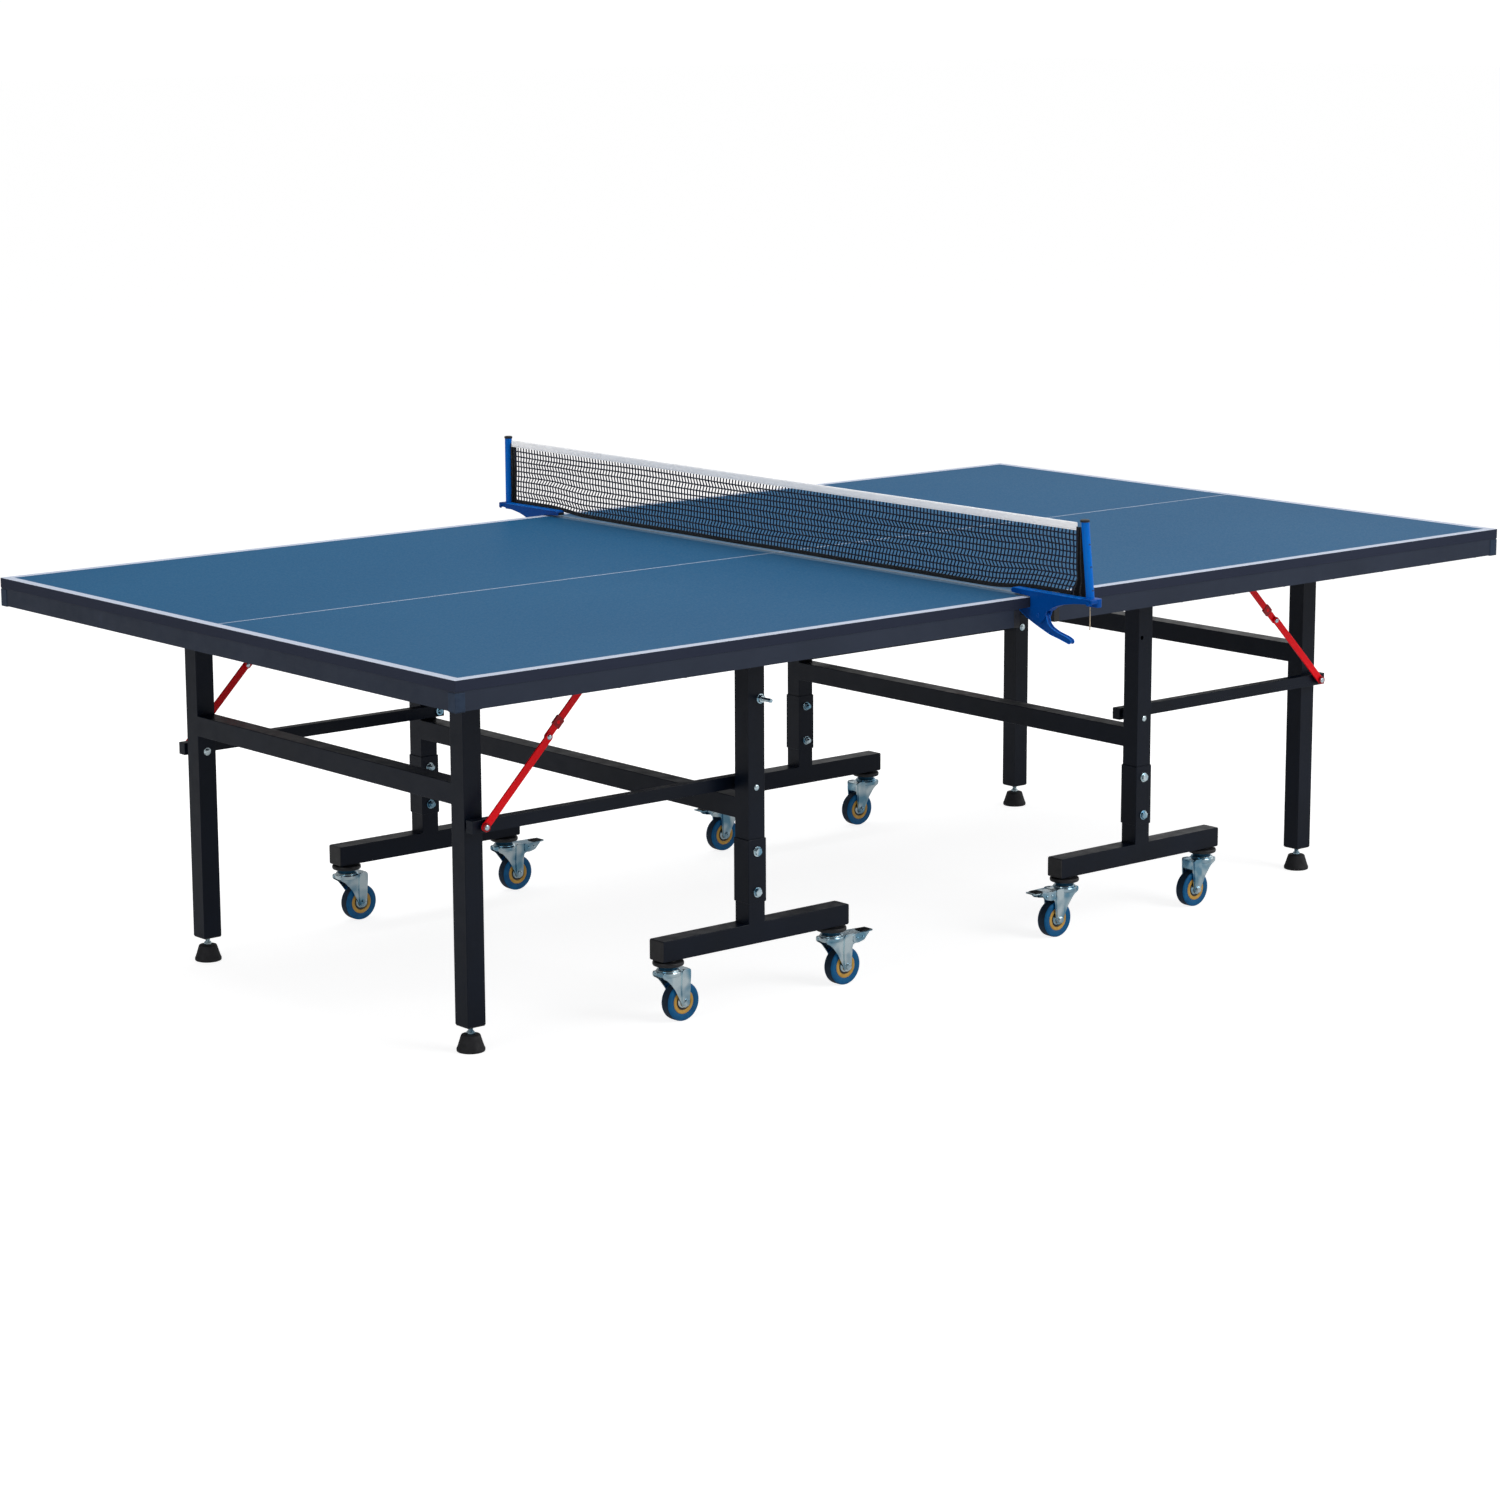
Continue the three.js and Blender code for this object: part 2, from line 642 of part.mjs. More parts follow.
// The lever under the clamp arm: its nose presses on the board from below, its tail is the handle.
function clampLever(side) {
  const outline = [
    [730, 739.2],
    [730, 732.5],
    [748, 722],
    [765, 714],
    [787, 705],
    [814, 694.8],
    [841, 689],
    [860, 683.8],
    [866, 682.5],
    [869.5, 685.5],
    [868, 689.5],
    [857, 694],
    [834, 699],
    [816, 706],
    [806, 715],
    [803.5, 726],
    [797, 735.5],
    [766, 739],
  ].map(([y, z]) => [side * y, z]);
  const from = CLAMP.from + CLAMP.sheet + GAP;
  const to = CLAMP.to - CLAMP.sheet - GAP;
  return cut(
    plateYZ(outline, from, to),
    rodX(
      [side * CLAMP.pivotY, CLAMP.pivotZ],
      CLAMP.pin + RUNNING,
      from - THROUGH,
      to + THROUGH,
    ),
  );
}

function netting() {
  const tapeBottom = NET.top - TAPE.depth - GAP;
  const outline = [
    [NET.near, NET.bottom],
    [NET.nearTop, tapeBottom],
    [NET.far, tapeBottom],
    [NET.far, NET.bottom + 20],
    [NET.far - 8, NET.bottom],
  ];
  return plateYZ(outline, -1, 1);
}

function netTape() {
  return block([-2, TAPE.near, NET.top - TAPE.depth], [2, TAPE.far, NET.top]);
}

function tensionCord() {
  const line = new THREE.LineCurve3(
    new THREE.Vector3(0, CORD.y, CORD.exitZ),
    new THREE.Vector3(0, CORD.y, CORD.exitZ - CORD.length),
  );
  const section = new THREE.Shape().absarc(0, 0, CORD.radius, 0, 2 * Math.PI);
  const cord = new THREE.ExtrudeGeometry(section, {
    steps: 8,
    extrudePath: line,
    curveSegments: 4,
  });
  return solid(cord);
}

function lockStud() {
  const face = CARRIAGE.y + HALF_TUBE;
  const at = [STUD.x, STUD.z];
  return join(
    rodY(at, STUD.radius, face - 4, face + STUD.length, 8),
    rodY(at, STUD.nut, face + GAP, face + GAP + STUD.nutDepth, HEX),
  );
}

// ---- Assembly ----

const shapes = new Map();

// Each different shape is worked out once and shared by its mirror images.
function shared(key, make) {
  if (!shapes.has(key)) shapes.set(key, geometryOf(make()));
  return shapes.get(key);
}

function mesh(name, key, colour, make) {
  const [color, roughness, metalness] = COLOURS[colour];
  const material = new THREE.MeshStandardMaterial({ color, roughness, metalness });
  const piece = new THREE.Mesh(shared(key, make), material);
  piece.name = name;
  return piece;
}

function casterMeshes(prefix, place, at) {
  const braked = place === "inner";
  const meshes = [
    mesh(`${prefix}_${place}_caster_fork`, `fork_${place}`, "zinc", () => casterFork(at, braked)),
    mesh(`${prefix}_${place}_caster_wheel`, `wheel_${place}`, "tyre", () => casterWheel(at)),
  ];
  if (braked) {
    meshes.push(mesh(`${prefix}_brake_pedal`, "pedal", "zinc", () => brakePedal(at)));
  }
  return meshes;
}

// The pieces on one long side of a half.
function sideGroup(prefix, mirror) {
  const side = new THREE.Group();
  side.scale.y = mirror;
  side.add(
    mesh(`${prefix}_t_foot`, "tFoot", "frame", tFoot),
    mesh(`${prefix}_levelling_foot`, "foot", "rubber", levellingFoot),
    mesh(`${prefix}_link_bar`, "link", "frame", linkBar),
    mesh(`${prefix}_stay_lower`, "stayLower", "stay", stayLower),
    mesh(`${prefix}_stay_upper`, "stayUpper", "stay", stayUpper),
    ...casterMeshes(prefix, "inner", CASTER.inner),
    ...casterMeshes(prefix, "outer", CASTER.outer),
  );
  return side;
}

function halfGroup(name, mirror) {
  const half = new THREE.Group();
  half.scale.x = mirror;
  half.add(
    mesh(`${name}_playing_board`, "board", "board", playingBoard),
    mesh(`${name}_apron_frame`, "apron", "apron", apronFrame),
    mesh(`${name}_carriage_frame`, "carriage", "frame", carriageFrame),
    mesh(`${name}_end_leg_frame`, "endLegs", "frame", endLegFrame),
    sideGroup(`${name}_near`, -1),
    sideGroup(`${name}_far`, 1),
  );
  return half;
}

// The stud that stands out of the near upright of the left half.
function lockStudGroup() {
  const place = new THREE.Group();
  place.scale.set(-1, -1, 1);
  place.add(mesh("left_near_lock_stud", "stud", "zinc", lockStud));
  return place;
}

function netGroup() {
  const net = new THREE.Group();
  net.add(
    mesh("near_net_post", "postNear", "netBlue", () => postAndBracket(NEAR_POST)),
    mesh("far_net_post", "postFar", "netBlue", () => postAndBracket(FAR_POST)),
    mesh("near_clamp_lever", "leverNear", "netBlue", () => clampLever(-1)),
    mesh("far_clamp_lever", "leverFar", "netBlue", () => clampLever(1)),
    mesh("netting", "netting", "netting", netting),
    mesh("net_tape", "tape", "tape", netTape),
    mesh("net_tension_cord", "cord", "cord", tensionCord),
  );
  return net;
}

const group = new THREE.Group();
group.add(halfGroup("left", -1), halfGroup("right", 1), lockStudGroup(), netGroup());

export default group;
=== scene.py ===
import math

import bmesh
import bpy
import numpy as np
from mathutils import Matrix, Vector


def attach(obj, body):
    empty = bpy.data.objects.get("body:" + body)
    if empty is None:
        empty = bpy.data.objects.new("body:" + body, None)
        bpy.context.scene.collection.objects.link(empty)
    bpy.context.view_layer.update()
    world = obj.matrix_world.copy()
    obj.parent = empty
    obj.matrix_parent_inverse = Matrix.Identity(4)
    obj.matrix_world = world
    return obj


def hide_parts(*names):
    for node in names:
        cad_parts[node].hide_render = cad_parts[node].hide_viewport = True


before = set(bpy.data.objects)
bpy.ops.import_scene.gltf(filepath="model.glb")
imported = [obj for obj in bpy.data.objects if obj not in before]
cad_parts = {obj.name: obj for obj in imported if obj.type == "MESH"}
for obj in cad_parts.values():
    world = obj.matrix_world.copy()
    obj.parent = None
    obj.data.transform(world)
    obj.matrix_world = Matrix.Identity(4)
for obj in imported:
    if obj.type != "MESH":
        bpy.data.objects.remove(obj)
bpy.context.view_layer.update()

MM = 0.001
HALVES = {"left": -1, "right": 1}
SIDES = {"near": -1, "far": 1}

# ---- Dimensions that repeat the model's, in millimetres ----
BOARD_TOP = 760
BOARD_BOTTOM = 740
APRON_BOTTOM = 705
APRON_FACE_Y = 761.5
APRON_FACE_X = 1369
APRON_NET_END = 47
HALF_LENGTH = 1370
HALF_WIDTH = 762.5
CARRIAGE_X, CARRIAGE_Y = 522, 528
LEG_X, LEG_Y = 1118, 442
HALF_TUBE = 20
BEAM_FROM, BEAM_TO, BEAM_BOTTOM, BEAM_TOP = 290, 750, 123, 163
SLEEVE_HALF = 21.8
SLEEVE_BOLTS = (223, 302)
LINK_Z = 427
LEG_LINK_PIVOT = (LEG_X, LINK_Z)
TOP_PIVOT = (507, 688)
LEG_TOP_PIVOT = (1103, 688)
STAY_TOP_PIVOT = (832, 713)
STAY_LOWER_LENGTH = 206.5
STAY_LOWER_Y = (496.2, 500)
STAY_UPPER_Y = (491.5, 495)
STAY_SPAN = math.dist(LEG_LINK_PIVOT, STAY_TOP_PIVOT)
KNEE = tuple(
    p + (q - p) * STAY_LOWER_LENGTH / STAY_SPAN for p, q in zip(LEG_LINK_PIVOT, STAY_TOP_PIVOT)
)
CASTER_AT = {"inner": 317, "outer": 723}
TRAIL = 28
AXLE_Z = 37.5
STUD_AT = (512, 594)
NET_TOP, TAPE_DEPTH, NET_BOTTOM = 912.5, 15, 764
TAPE_BOTTOM = NET_TOP - TAPE_DEPTH
TAPE_NEAR, TAPE_FAR = -866, 901
TAPE_LENGTH = TAPE_FAR - TAPE_NEAR
POST_RADIUS, POST_TOP, POST_BOTTOM = 7.9, 920, 759
# Where each post stands, as a distance from the middle line, and how far its top leans inwards.
POSTS = {"near": (906, 18.5), "far": (915, 0)}
CLAMP_FROM, CLAMP_TO = -20, -3
LEVER_PIVOT = (785, 728)
CORD_Y, CORD_EXIT_Z, CORD_LENGTH, CORD_RADIUS = -904, 756.5, 45, 1

# ---- Camera, first; the cord's numbers were measured against its view ----
CAMERA_AT = (-5.1375, -5.9799, 1.9241)
LENS = 92.95
YAW, PITCH, ROLL = math.radians(40.257), math.radians(11.321), math.radians(-0.205)


def add_object(name, data):
    """A new object in the scene, of a mesh, curve, camera or light."""
    obj = bpy.data.objects.new(name, data)
    bpy.context.scene.collection.objects.link(obj)
    return obj


def make_camera():
    """Looks down over the left half's near corner, along the table."""
    data = bpy.data.cameras.new("camera")
    data.lens = LENS
    data.clip_end = 100
    camera = add_object("camera", data)
    camera.location = CAMERA_AT
    turn = (
        Matrix.Rotation(-YAW, 3, "Z")
        @ Matrix.Rotation(math.pi / 2 - PITCH, 3, "X")
        @ Matrix.Rotation(ROLL, 3, "Z")
    )
    camera.rotation_euler = turn.to_euler()
    bpy.context.scene.camera = camera


make_camera()

# ---- Materials ----
BOARD_BLUE, BOARD_BLUE_LIGHT = (24, 86, 127), (32, 92, 132)
LINE_WHITE, LINE_WHITE_DULL = (200, 208, 224), (188, 197, 215)
BAND, BAND_LIGHT = (42, 48, 65), (48, 54, 72)
NET_STRIP_REFLECTION_TINT, DARK_LINE_TINT, NET_EDGE_TINT = (130, 160, 185), (10, 24, 44), (150, 165, 180)
# Widths and places across the board, in millimetres.
EDGE_LINE, CENTRE_LINE_HALF = 20, 1.6
NET_EDGE, NET_STRIP, DARK_LINE_AT, DARK_LINE_HALF = 4.5, 20, 21.5, 1.5
TOP_SKIN = 0.35
WHITE = (1, 1, 1, 1)


def rgb(red, green, blue):
    """A colour given as screen values from 0 to 255, as linear numbers."""
    linear = []
    for value in (red, green, blue):
        share = value / 255
        linear.append(share / 12.92 if share <= 0.04045 else ((share + 0.055) / 1.055) ** 2.4)
    return (*linear, 1)


class Nodes:
    """A node tree being built. shader is its main node."""

    def __init__(self, tree, shader):
        self.nodes, self.links = tree.nodes, tree.links
        self.shader = self.nodes[shader]

    def feed(self, node, inputs):
        """Links each named input to a socket, or sets it to a plain value."""
        for key, value in inputs.items():
            if isinstance(value, bpy.types.NodeSocket):
                self.links.new(value, node.inputs[key])
            else:
                node.inputs[key].default_value = value

    def node(self, kind, inputs=None, **settings):
        made = self.nodes.new("ShaderNode" + kind)
        for key, value in settings.items():
            setattr(made, key, value)
        self.feed(made, inputs or {})
        return made

    def remap(self, value, low, high, to_low, to_high):
        made = self.node("MapRange", {"Value": value, "From Min": low, "From Max": high})
        self.feed(made, {"To Min": to_low, "To Max": to_high})
        return made.outputs["Result"]

    def camera_ray(self):
        return self.node("LightPath").outputs["Is Camera Ray"]


class Look(Nodes):
    """A node material being built round one Principled shader."""

    def __init__(self, name, metallic=0.0, specular=0.5, sheen=0.0):
        self.material = bpy.data.materials.new(name)
        self.material.use_nodes = True
        super().__init__(self.material.node_tree, "Principled BSDF")
        finish = {"Metallic": metallic, "Specular IOR Level": specular, "Sheen Weight": sheen}
        self.feed(self.shader, finish)
        self.place = self.node("TexCoord").outputs["Object"]

    def noise(self, scale, detail=2.0, roughness=0.5, where=None):
        inputs = {"Vector": where or self.place, "Scale": scale, "Detail": detail}
        return self.node("TexNoise", {**inputs, "Roughness": roughness}).outputs["Fac"]

    def calc(self, operation, first, second=0.0, third=0.0):
        return self.node("Math", {0: first, 1: second, 2: third}, operation=operation).outputs[0]

    def cloud(self, scale, detail, low=0.35, high=0.7, roughness=0.5):
        """Noise stretched to run from 0 to 1."""
        return self.remap(self.noise(scale, detail, roughness), low, high, 0.0, 1.0)

    def mix(self, share, first, second):
        """Blends two colours."""
        return self.node("Mix", {0: share, 6: first, 7: second}, data_type="RGBA").outputs[2]

    def scaled(self, x, y, z):
        made = self.node("Mapping", {"Vector": self.place, "Scale": (x, y, z)})
        return made.outputs["Vector"]

    def axes(self):
        return self.node("SeparateXYZ", {0: self.place}).outputs

    def colour(self, value):
        self.feed(self.shader, {"Base Color": value})

    def rough(self, low, high, scale=30):
        spread = self.remap(self.noise(scale, 4), 0.3, 0.7, low, high)
        self.feed(self.shader, {"Roughness": spread})

    def bump(self, height, distance):
        """Distance is in metres."""
        made = self.node("Bump", {"Height": height, "Distance": distance, "Strength": 1.0})
        self.feed(self.shader, {"Normal": made.outputs["Normal"]})


def coated(name, colour, light, rough, **shader):
    """Powder coat or enamel: orange peel, cloudy tone and a few pale scuffs."""
    look = Look(name, **shader)
    tone = look.mix(look.cloud(7, 3), rgb(*colour), rgb(*light))
    streaks = look.noise(1, 6, 0.7, look.scaled(45, 45, 14))
    scuff = look.remap(streaks, 0.66, 0.74, 0.0, 0.35)
    pale = [min(255, value * 1.25 + 14) for value in light]
    look.colour(look.mix(scuff, tone, rgb(*pale)))
    look.rough(*rough)
    look.bump(look.noise(900, 2), 0.00004)
    return look.material


def plated(name, colour, tint):
    """Zinc plate with blue clouds, partly the tint of its passivation and partly painted reflections,
    dark teal and pale.
    """
    look = Look(name, metallic=1.0)
    # The two tones are partly the passivation's blue tint, partly painted reflections: dark teal patches
    # and pale highlights.
    look.colour(look.mix(look.cloud(34, 1, high=0.62), rgb(*colour), rgb(*tint)))
    look.rough(0.1, 0.26, scale=150)
    look.bump(look.noise(1500, 3), 0.00002)
    return look.material


def moulded(name, colour, light, rough, depth=0.00003, **shader):
    """Moulded plastic or rubber with a fine grain."""
    look = Look(name, **shader)
    look.colour(look.mix(look.cloud(90, 5), rgb(*colour), rgb(*light)))
    look.rough(*rough, scale=120)
    look.bump(look.noise(1400, 3), depth)
    return look.material


def woven(name, colour, light, pitch, depth, glow=0.0):
    """Cloth or twisted cord: crossed threads of the given pitch in metres; glow is painted light, an
    emission that brightens the shaded sides.
    """
    look = Look(name, specular=0.2, sheen=0.15)
    # glow is emission: painted light that keeps the tape white on its shaded sides, though it is no
    # lamp.
    look.feed(look.shader, {"Emission Color": WHITE, "Emission Strength": glow})
    x, y, z = look.axes()
    waves = 2 * math.pi / pitch
    along = look.calc("SINE", look.calc("MULTIPLY", y, waves))
    across = look.calc("SINE", look.calc("MULTIPLY", look.calc("ADD", z, x), waves))
    weave = look.calc("MULTIPLY", along, across)
    shade = look.calc("ADD", look.noise(40, 4), look.calc("MULTIPLY", weave, 0.1))
    cloud = look.remap(shade, 0.3, 0.7, 0, 1)
    look.colour(look.mix(cloud, rgb(*colour), rgb(*light)))
    look.rough(0.8, 0.95)
    look.bump(weave, depth)
    return look.material


def board_look():
    """The playing board: matt blue lacquer on top with painted lines, dark sides and underside."""
    look = Look("board_lacquer", specular=0.07)
    x, y, z = look.axes()
    far_x, far_y = look.calc("ABSOLUTE", x), look.calc("ABSOLUTE", y)
    fleck = look.cloud(420, 3, 0.3, 0.7, roughness=0.7)
    cloud = look.cloud(1.6, 3, 0.3, 0.7)
    tone = look.calc("ADD", look.calc("MULTIPLY", fleck, 0.35), look.calc("MULTIPLY", cloud, 0.65))
    blue = look.mix(tone, rgb(*BOARD_BLUE), rgb(*BOARD_BLUE_LIGHT))
    side_line = look.calc("GREATER_THAN", far_y, (HALF_WIDTH - EDGE_LINE) * MM)
    end_line = look.calc("GREATER_THAN", far_x, (HALF_LENGTH - EDGE_LINE) * MM)
    centre_line = look.calc("LESS_THAN", far_y, CENTRE_LINE_HALF * MM)
    lines = look.calc("MAXIMUM", look.calc("MAXIMUM", side_line, end_line), centre_line)
    top = look.mix(lines, blue, look.mix(fleck, rgb(*LINE_WHITE), rgb(*LINE_WHITE_DULL)))
    # Beside the net: a paler strip, which is painted reflected light, a dark line at its edge, and the
    # bare edge of the board.
    net_reflection_strip = look.calc("LESS_THAN", far_x, NET_STRIP * MM)
    dark_line = look.calc("COMPARE", far_x, DARK_LINE_AT * MM, DARK_LINE_HALF * MM)
    net_edge = look.calc("LESS_THAN", far_x, NET_EDGE * MM)
    # The paler strip is painted light, standing in for light reflected beside the net.
    top = look.mix(look.calc("MULTIPLY", net_reflection_strip, 0.3), top, rgb(*NET_STRIP_REFLECTION_TINT))
    top = look.mix(look.calc("MULTIPLY", dark_line, 0.45), top, rgb(*DARK_LINE_TINT))
    top = look.mix(net_edge, top, rgb(*NET_EDGE_TINT))
    is_top = look.calc("GREATER_THAN", z, (BOARD_TOP - TOP_SKIN) * MM)
    look.colour(look.mix(is_top, look.mix(cloud, rgb(*BAND), rgb(*BAND_LIGHT)), top))
    look.rough(0.42, 0.52, scale=260)
    look.bump(look.calc("ADD", look.noise(1300, 3), look.calc("MULTIPLY", lines, 0.8)), 0.00004)
    return look.material


# A look has a colour, its lighter tone and, except for zinc, the lowest and highest roughness.
LOOKS = {
    "board": board_look(),
    "apron": coated("apron_powder", (38, 47, 64), (43, 52, 70), (0.42, 0.55), specular=0.22),
    "corner": moulded("corner_cover", (37, 53, 75), (43, 60, 83), (0.36, 0.48), specular=0.2),
    "frame": coated("frame_powder", (8, 17, 30), (11, 21, 37), (0.3, 0.42), specular=0.18),
    "red": coated("stay_enamel", (242, 2, 18), (252, 8, 28), (0.28, 0.4), specular=0.16),
    "dark_red": coated("catch_enamel", (150, 0, 14), (170, 4, 22), (0.3, 0.42), specular=0.3),
    "blue": coated("net_blue_enamel", (0, 70, 152), (0, 80, 168), (0.25, 0.36), specular=0.1),
    # The post's own blue, also laid on the clamp's rims as a painted highlight.
    "bright_blue": coated("post_blue_enamel_and_rim_highlight", (0, 106, 206), (0, 118, 222), (0.25, 0.36), specular=0.14),
    "zinc": plated("zinc_plate", (118, 164, 188), (212, 229, 235)),
    "cup": coated("swivel_cup_paint", (18, 74, 104), (36, 96, 126), (0.3, 0.45), metallic=0.5),
    # Black plastic, also used for dark marks of painted shade: the screw slots, the post's holes and the
    # clamp arm's end.
    "plastic": moulded("black_plastic_and_painted_shade", (17, 18, 22), (26, 27, 32), (0.42, 0.55)),
    "rubber": moulded("black_rubber", (20, 21, 25), (31, 32, 37), (0.65, 0.8), depth=0.00006),
    "tyre": moulded("blue_tyre", (0, 88, 140), (0, 102, 157), (0.38, 0.52), specular=0.25),
    "tread": moulded("worn_tread", (22, 40, 58), (31, 51, 70), (0.5, 0.65), specular=0.2),
    "amber": moulded("amber_ring", (206, 156, 62), (224, 176, 82), (0.3, 0.42)),
    "grip": moulded("dark_ring", (34, 36, 38), (52, 54, 56), (0.4, 0.5)),
    # A woven look has its thread's pitch and the depth of its bumps instead, in metres.
    "strand": woven("net_strand", (3, 14, 40), (8, 24, 56), 0.0008, 0.0001),
    "sleeve": woven("net_sleeve", (7, 9, 13), (16, 18, 24), 0.0011, 0.00015),
    # The tape's glow is painted light, an emission that keeps its shaded sides white.
    "tape": woven("net_tape_canvas", (246, 246, 249), (253, 253, 254), 0.0009, 0.00008, glow=0.19),
    "stitch": woven("tape_stitch", (196, 198, 208), (222, 224, 232), 0.0006, 0.00008),
    "cord": woven("cord_cotton", (200, 180, 150), (226, 210, 184), 0.0012, 0.0002),
}


# ---- Outlines ----
def mirrored(half):
    """A symmetrical outline: half of it turned over about 0, then the half itself backwards."""
    return [(a, -b) for a, b in half] + half[::-1]


def rectangle(low_a, low_b, high_a, high_b):
    return [(low_a, low_b), (high_a, low_b), (high_a, high_b), (low_a, high_b)]


def circle(radius, sides):
    turns = np.linspace(0, 2 * math.pi, sides, endpoint=False)
    return [(radius * math.cos(t), radius * math.sin(t)) for t in turns]


def rounded(outline, radius, steps=4):
    """An outline with each corner rounded, by as much as its sides leave room for."""
    out = []
    count = len(outline)
    for i in range(count):
        at = Vector(outline[i])
        before, after = Vector(outline[i - 1]), Vector(outline[(i + 1) % count])
        reach = min(radius, (before - at).length * 0.45, (after - at).length * 0.45)
        start = at + (before - at).normalized() * reach
        end = at + (after - at).normalized() * reach
        for n in range(steps + 1):
            t = n / steps
            out.append(tuple(start * (1 - t) ** 2 + at * 2 * t * (1 - t) + end * t**2))
    return out


def bar_outline(start, end, width, steps=10):
    """A flat bar with round ends, from one point to another."""
    along = math.atan2(end[1] - start[1], end[0] - start[0])
    out = []
    for (x, z), turn in ((end, -math.pi / 2), (start, math.pi / 2)):
        for i in range(steps + 1):
            angle = along + turn + math.pi * i / steps
            out.append((x + width / 2 * math.cos(angle), z + width / 2 * math.sin(angle)))
    return out


def beside(middle, side, near, far):
    """The lower and the higher end of a span on one side of a middle."""
    return sorted((middle + side * near, middle + side * far))


def skin(rings, count):
    """The faces of a tube with two end faces, whose rings have count points each."""
    faces = []
    for n in range(rings - 1):
        for i in range(count):
            j = (i + 1) % count
            faces.append([n * count + i, n * count + j, (n + 1) * count + j, (n + 1) * count + i])
    last = (rings - 1) * count
    return faces + [list(range(count))[::-1], list(range(last, last + count))]


# ---- Mesh building ----
def turned(point, axis):
    """(across, across, along) of a piece about an axis, as x, y, z."""
    u, v, w = point
    return {"x": (w, u, v), "y": (u, w, v), "z": (u, v, w)}[axis]


class Shape:
    """Vertices and faces in millimetres. mark is the number of the face's material."""

    def __init__(self):
        self.points, self.faces, self.marks = [], [], []

    def put(self, points, faces, mark=0):
        base = len(self.points)
        self.points += [tuple(p) for p in points]
        self.faces += [[base + i for i in face] for face in faces]
        self.marks += [mark] * len(faces)
        return self

    def lathe(self, centre, axis, profile, sides=32, mark=0, start=0.0):
        """Turns (radius, along) points about an axis. A radius of 0 is a pole, and a profile
        whose ends aren't poles closes on itself."""
        cx, cy, cz = centre
        rings, points = [], []
        for radius, along in profile:
            count = 1 if radius == 0 else sides
            rings.append(list(range(len(points), len(points) + count)))
            for i in range(count):
                angle = start + 2 * math.pi * i / sides
                x, y, z = turned((radius * math.cos(angle), radius * math.sin(angle), along), axis)
                points.append((cx + x, cy + y, cz + z))
        pairs = list(zip(rings, rings[1:]))
        if profile[0][0] and profile[-1][0]:
            pairs.append((rings[-1], rings[0]))
        faces = []
        for low, high in pairs:
            for i in range(sides):
                j = (i + 1) % sides
                ends = ((low, i), (low, j), (high, j), (high, i))
                face = [ring[k % len(ring)] for ring, k in ends]
                faces.append([v for n, v in enumerate(face) if v not in face[:n]])
        return self.put(points, faces, mark)

    def prism(self, outline, axis, low, high, mark=0):
        """Extrudes an outline along an axis. The outline's two numbers are the other two axes in
        x, y, z order."""
        count = len(outline)
        points = [turned((a, b, along), axis) for along in (low, high) for a, b in outline]
        sides = [[i, (i + 1) % count, count + (i + 1) % count, count + i] for i in range(count)]
        caps = [list(range(count))[::-1], list(range(count, 2 * count))]
        return self.put(points, sides + caps, mark)

    def block(self, low, high, mark=0):
        return self.prism(rectangle(*low[:2], *high[:2]), "z", low[2], high[2], mark)

    def sweep(self, path, section, mark=0):
        """A closed section of (a, b) points along a path. a lies along X."""
        path = [Vector(p) for p in path]
        points = []
        for i, at in enumerate(path):
            ahead = (path[min(i + 1, len(path) - 1)] - path[max(i - 1, 0)]).normalized()
            up = ahead.cross(Vector((1, 0, 0))).normalized()
            across = up.cross(ahead)
            points += [at + across * a + up * b for a, b in section]
        return self.put(points, skin(len(path), len(section)), mark)

    # Small hardware. along is +1 or -1, the way the head faces along its axis.
    def rivet(self, centre, axis, along, radius, height):
        """A domed rivet head whose foot is at centre."""
        turns = np.linspace(0, 1.35, 6)
        dome = [(radius * math.cos(t), along * height * math.sin(t)) for t in turns]
        foot = -along * 0.2
        profile = [(0, foot), (radius, foot), *dome, (0, along * height)]
        return self.lathe(centre, axis, profile, 20)

    def washer(self, centre, axis, along, radius, height, mark=0):
        """A disc with its outer edge broken by 0.4 mm."""
        edge, top = along * height * 0.7, along * height
        profile = [(0, 0), (radius, 0), (radius, edge), (radius - 0.4, top), (0, top)]
        return self.lathe(centre, axis, profile, 28, mark)

    def hexagon(self, centre, axis, along, radius, height, start=0.3):
        """A nut or bolt head with chamfered corners."""
        profile = [
            (0, 0),
            (radius * 0.93, 0),
            (radius, along * height * 0.14),
            (radius, along * height * 0.84),
            (radius * 0.88, along * height),
            (0, along * height),
        ]
        return self.lathe(centre, axis, profile, 6, start=start)

    def thread(self, centre, axis, radius, start, end, pitch=1.25):
        """A threaded rod end, its ridges as rings."""
        turns = max(2, int(abs(end - start) / pitch))
        step = (end - start) / turns
        profile = [(0, start)]
        for i in range(turns):
            at = start + (end - start) * i / turns
            profile += [(radius * 0.86, at + step * 0.1), (radius, at + step * 0.55)]
        profile += [(radius * 0.8, end), (0, end)]
        return self.lathe(centre, axis, profile, 16)


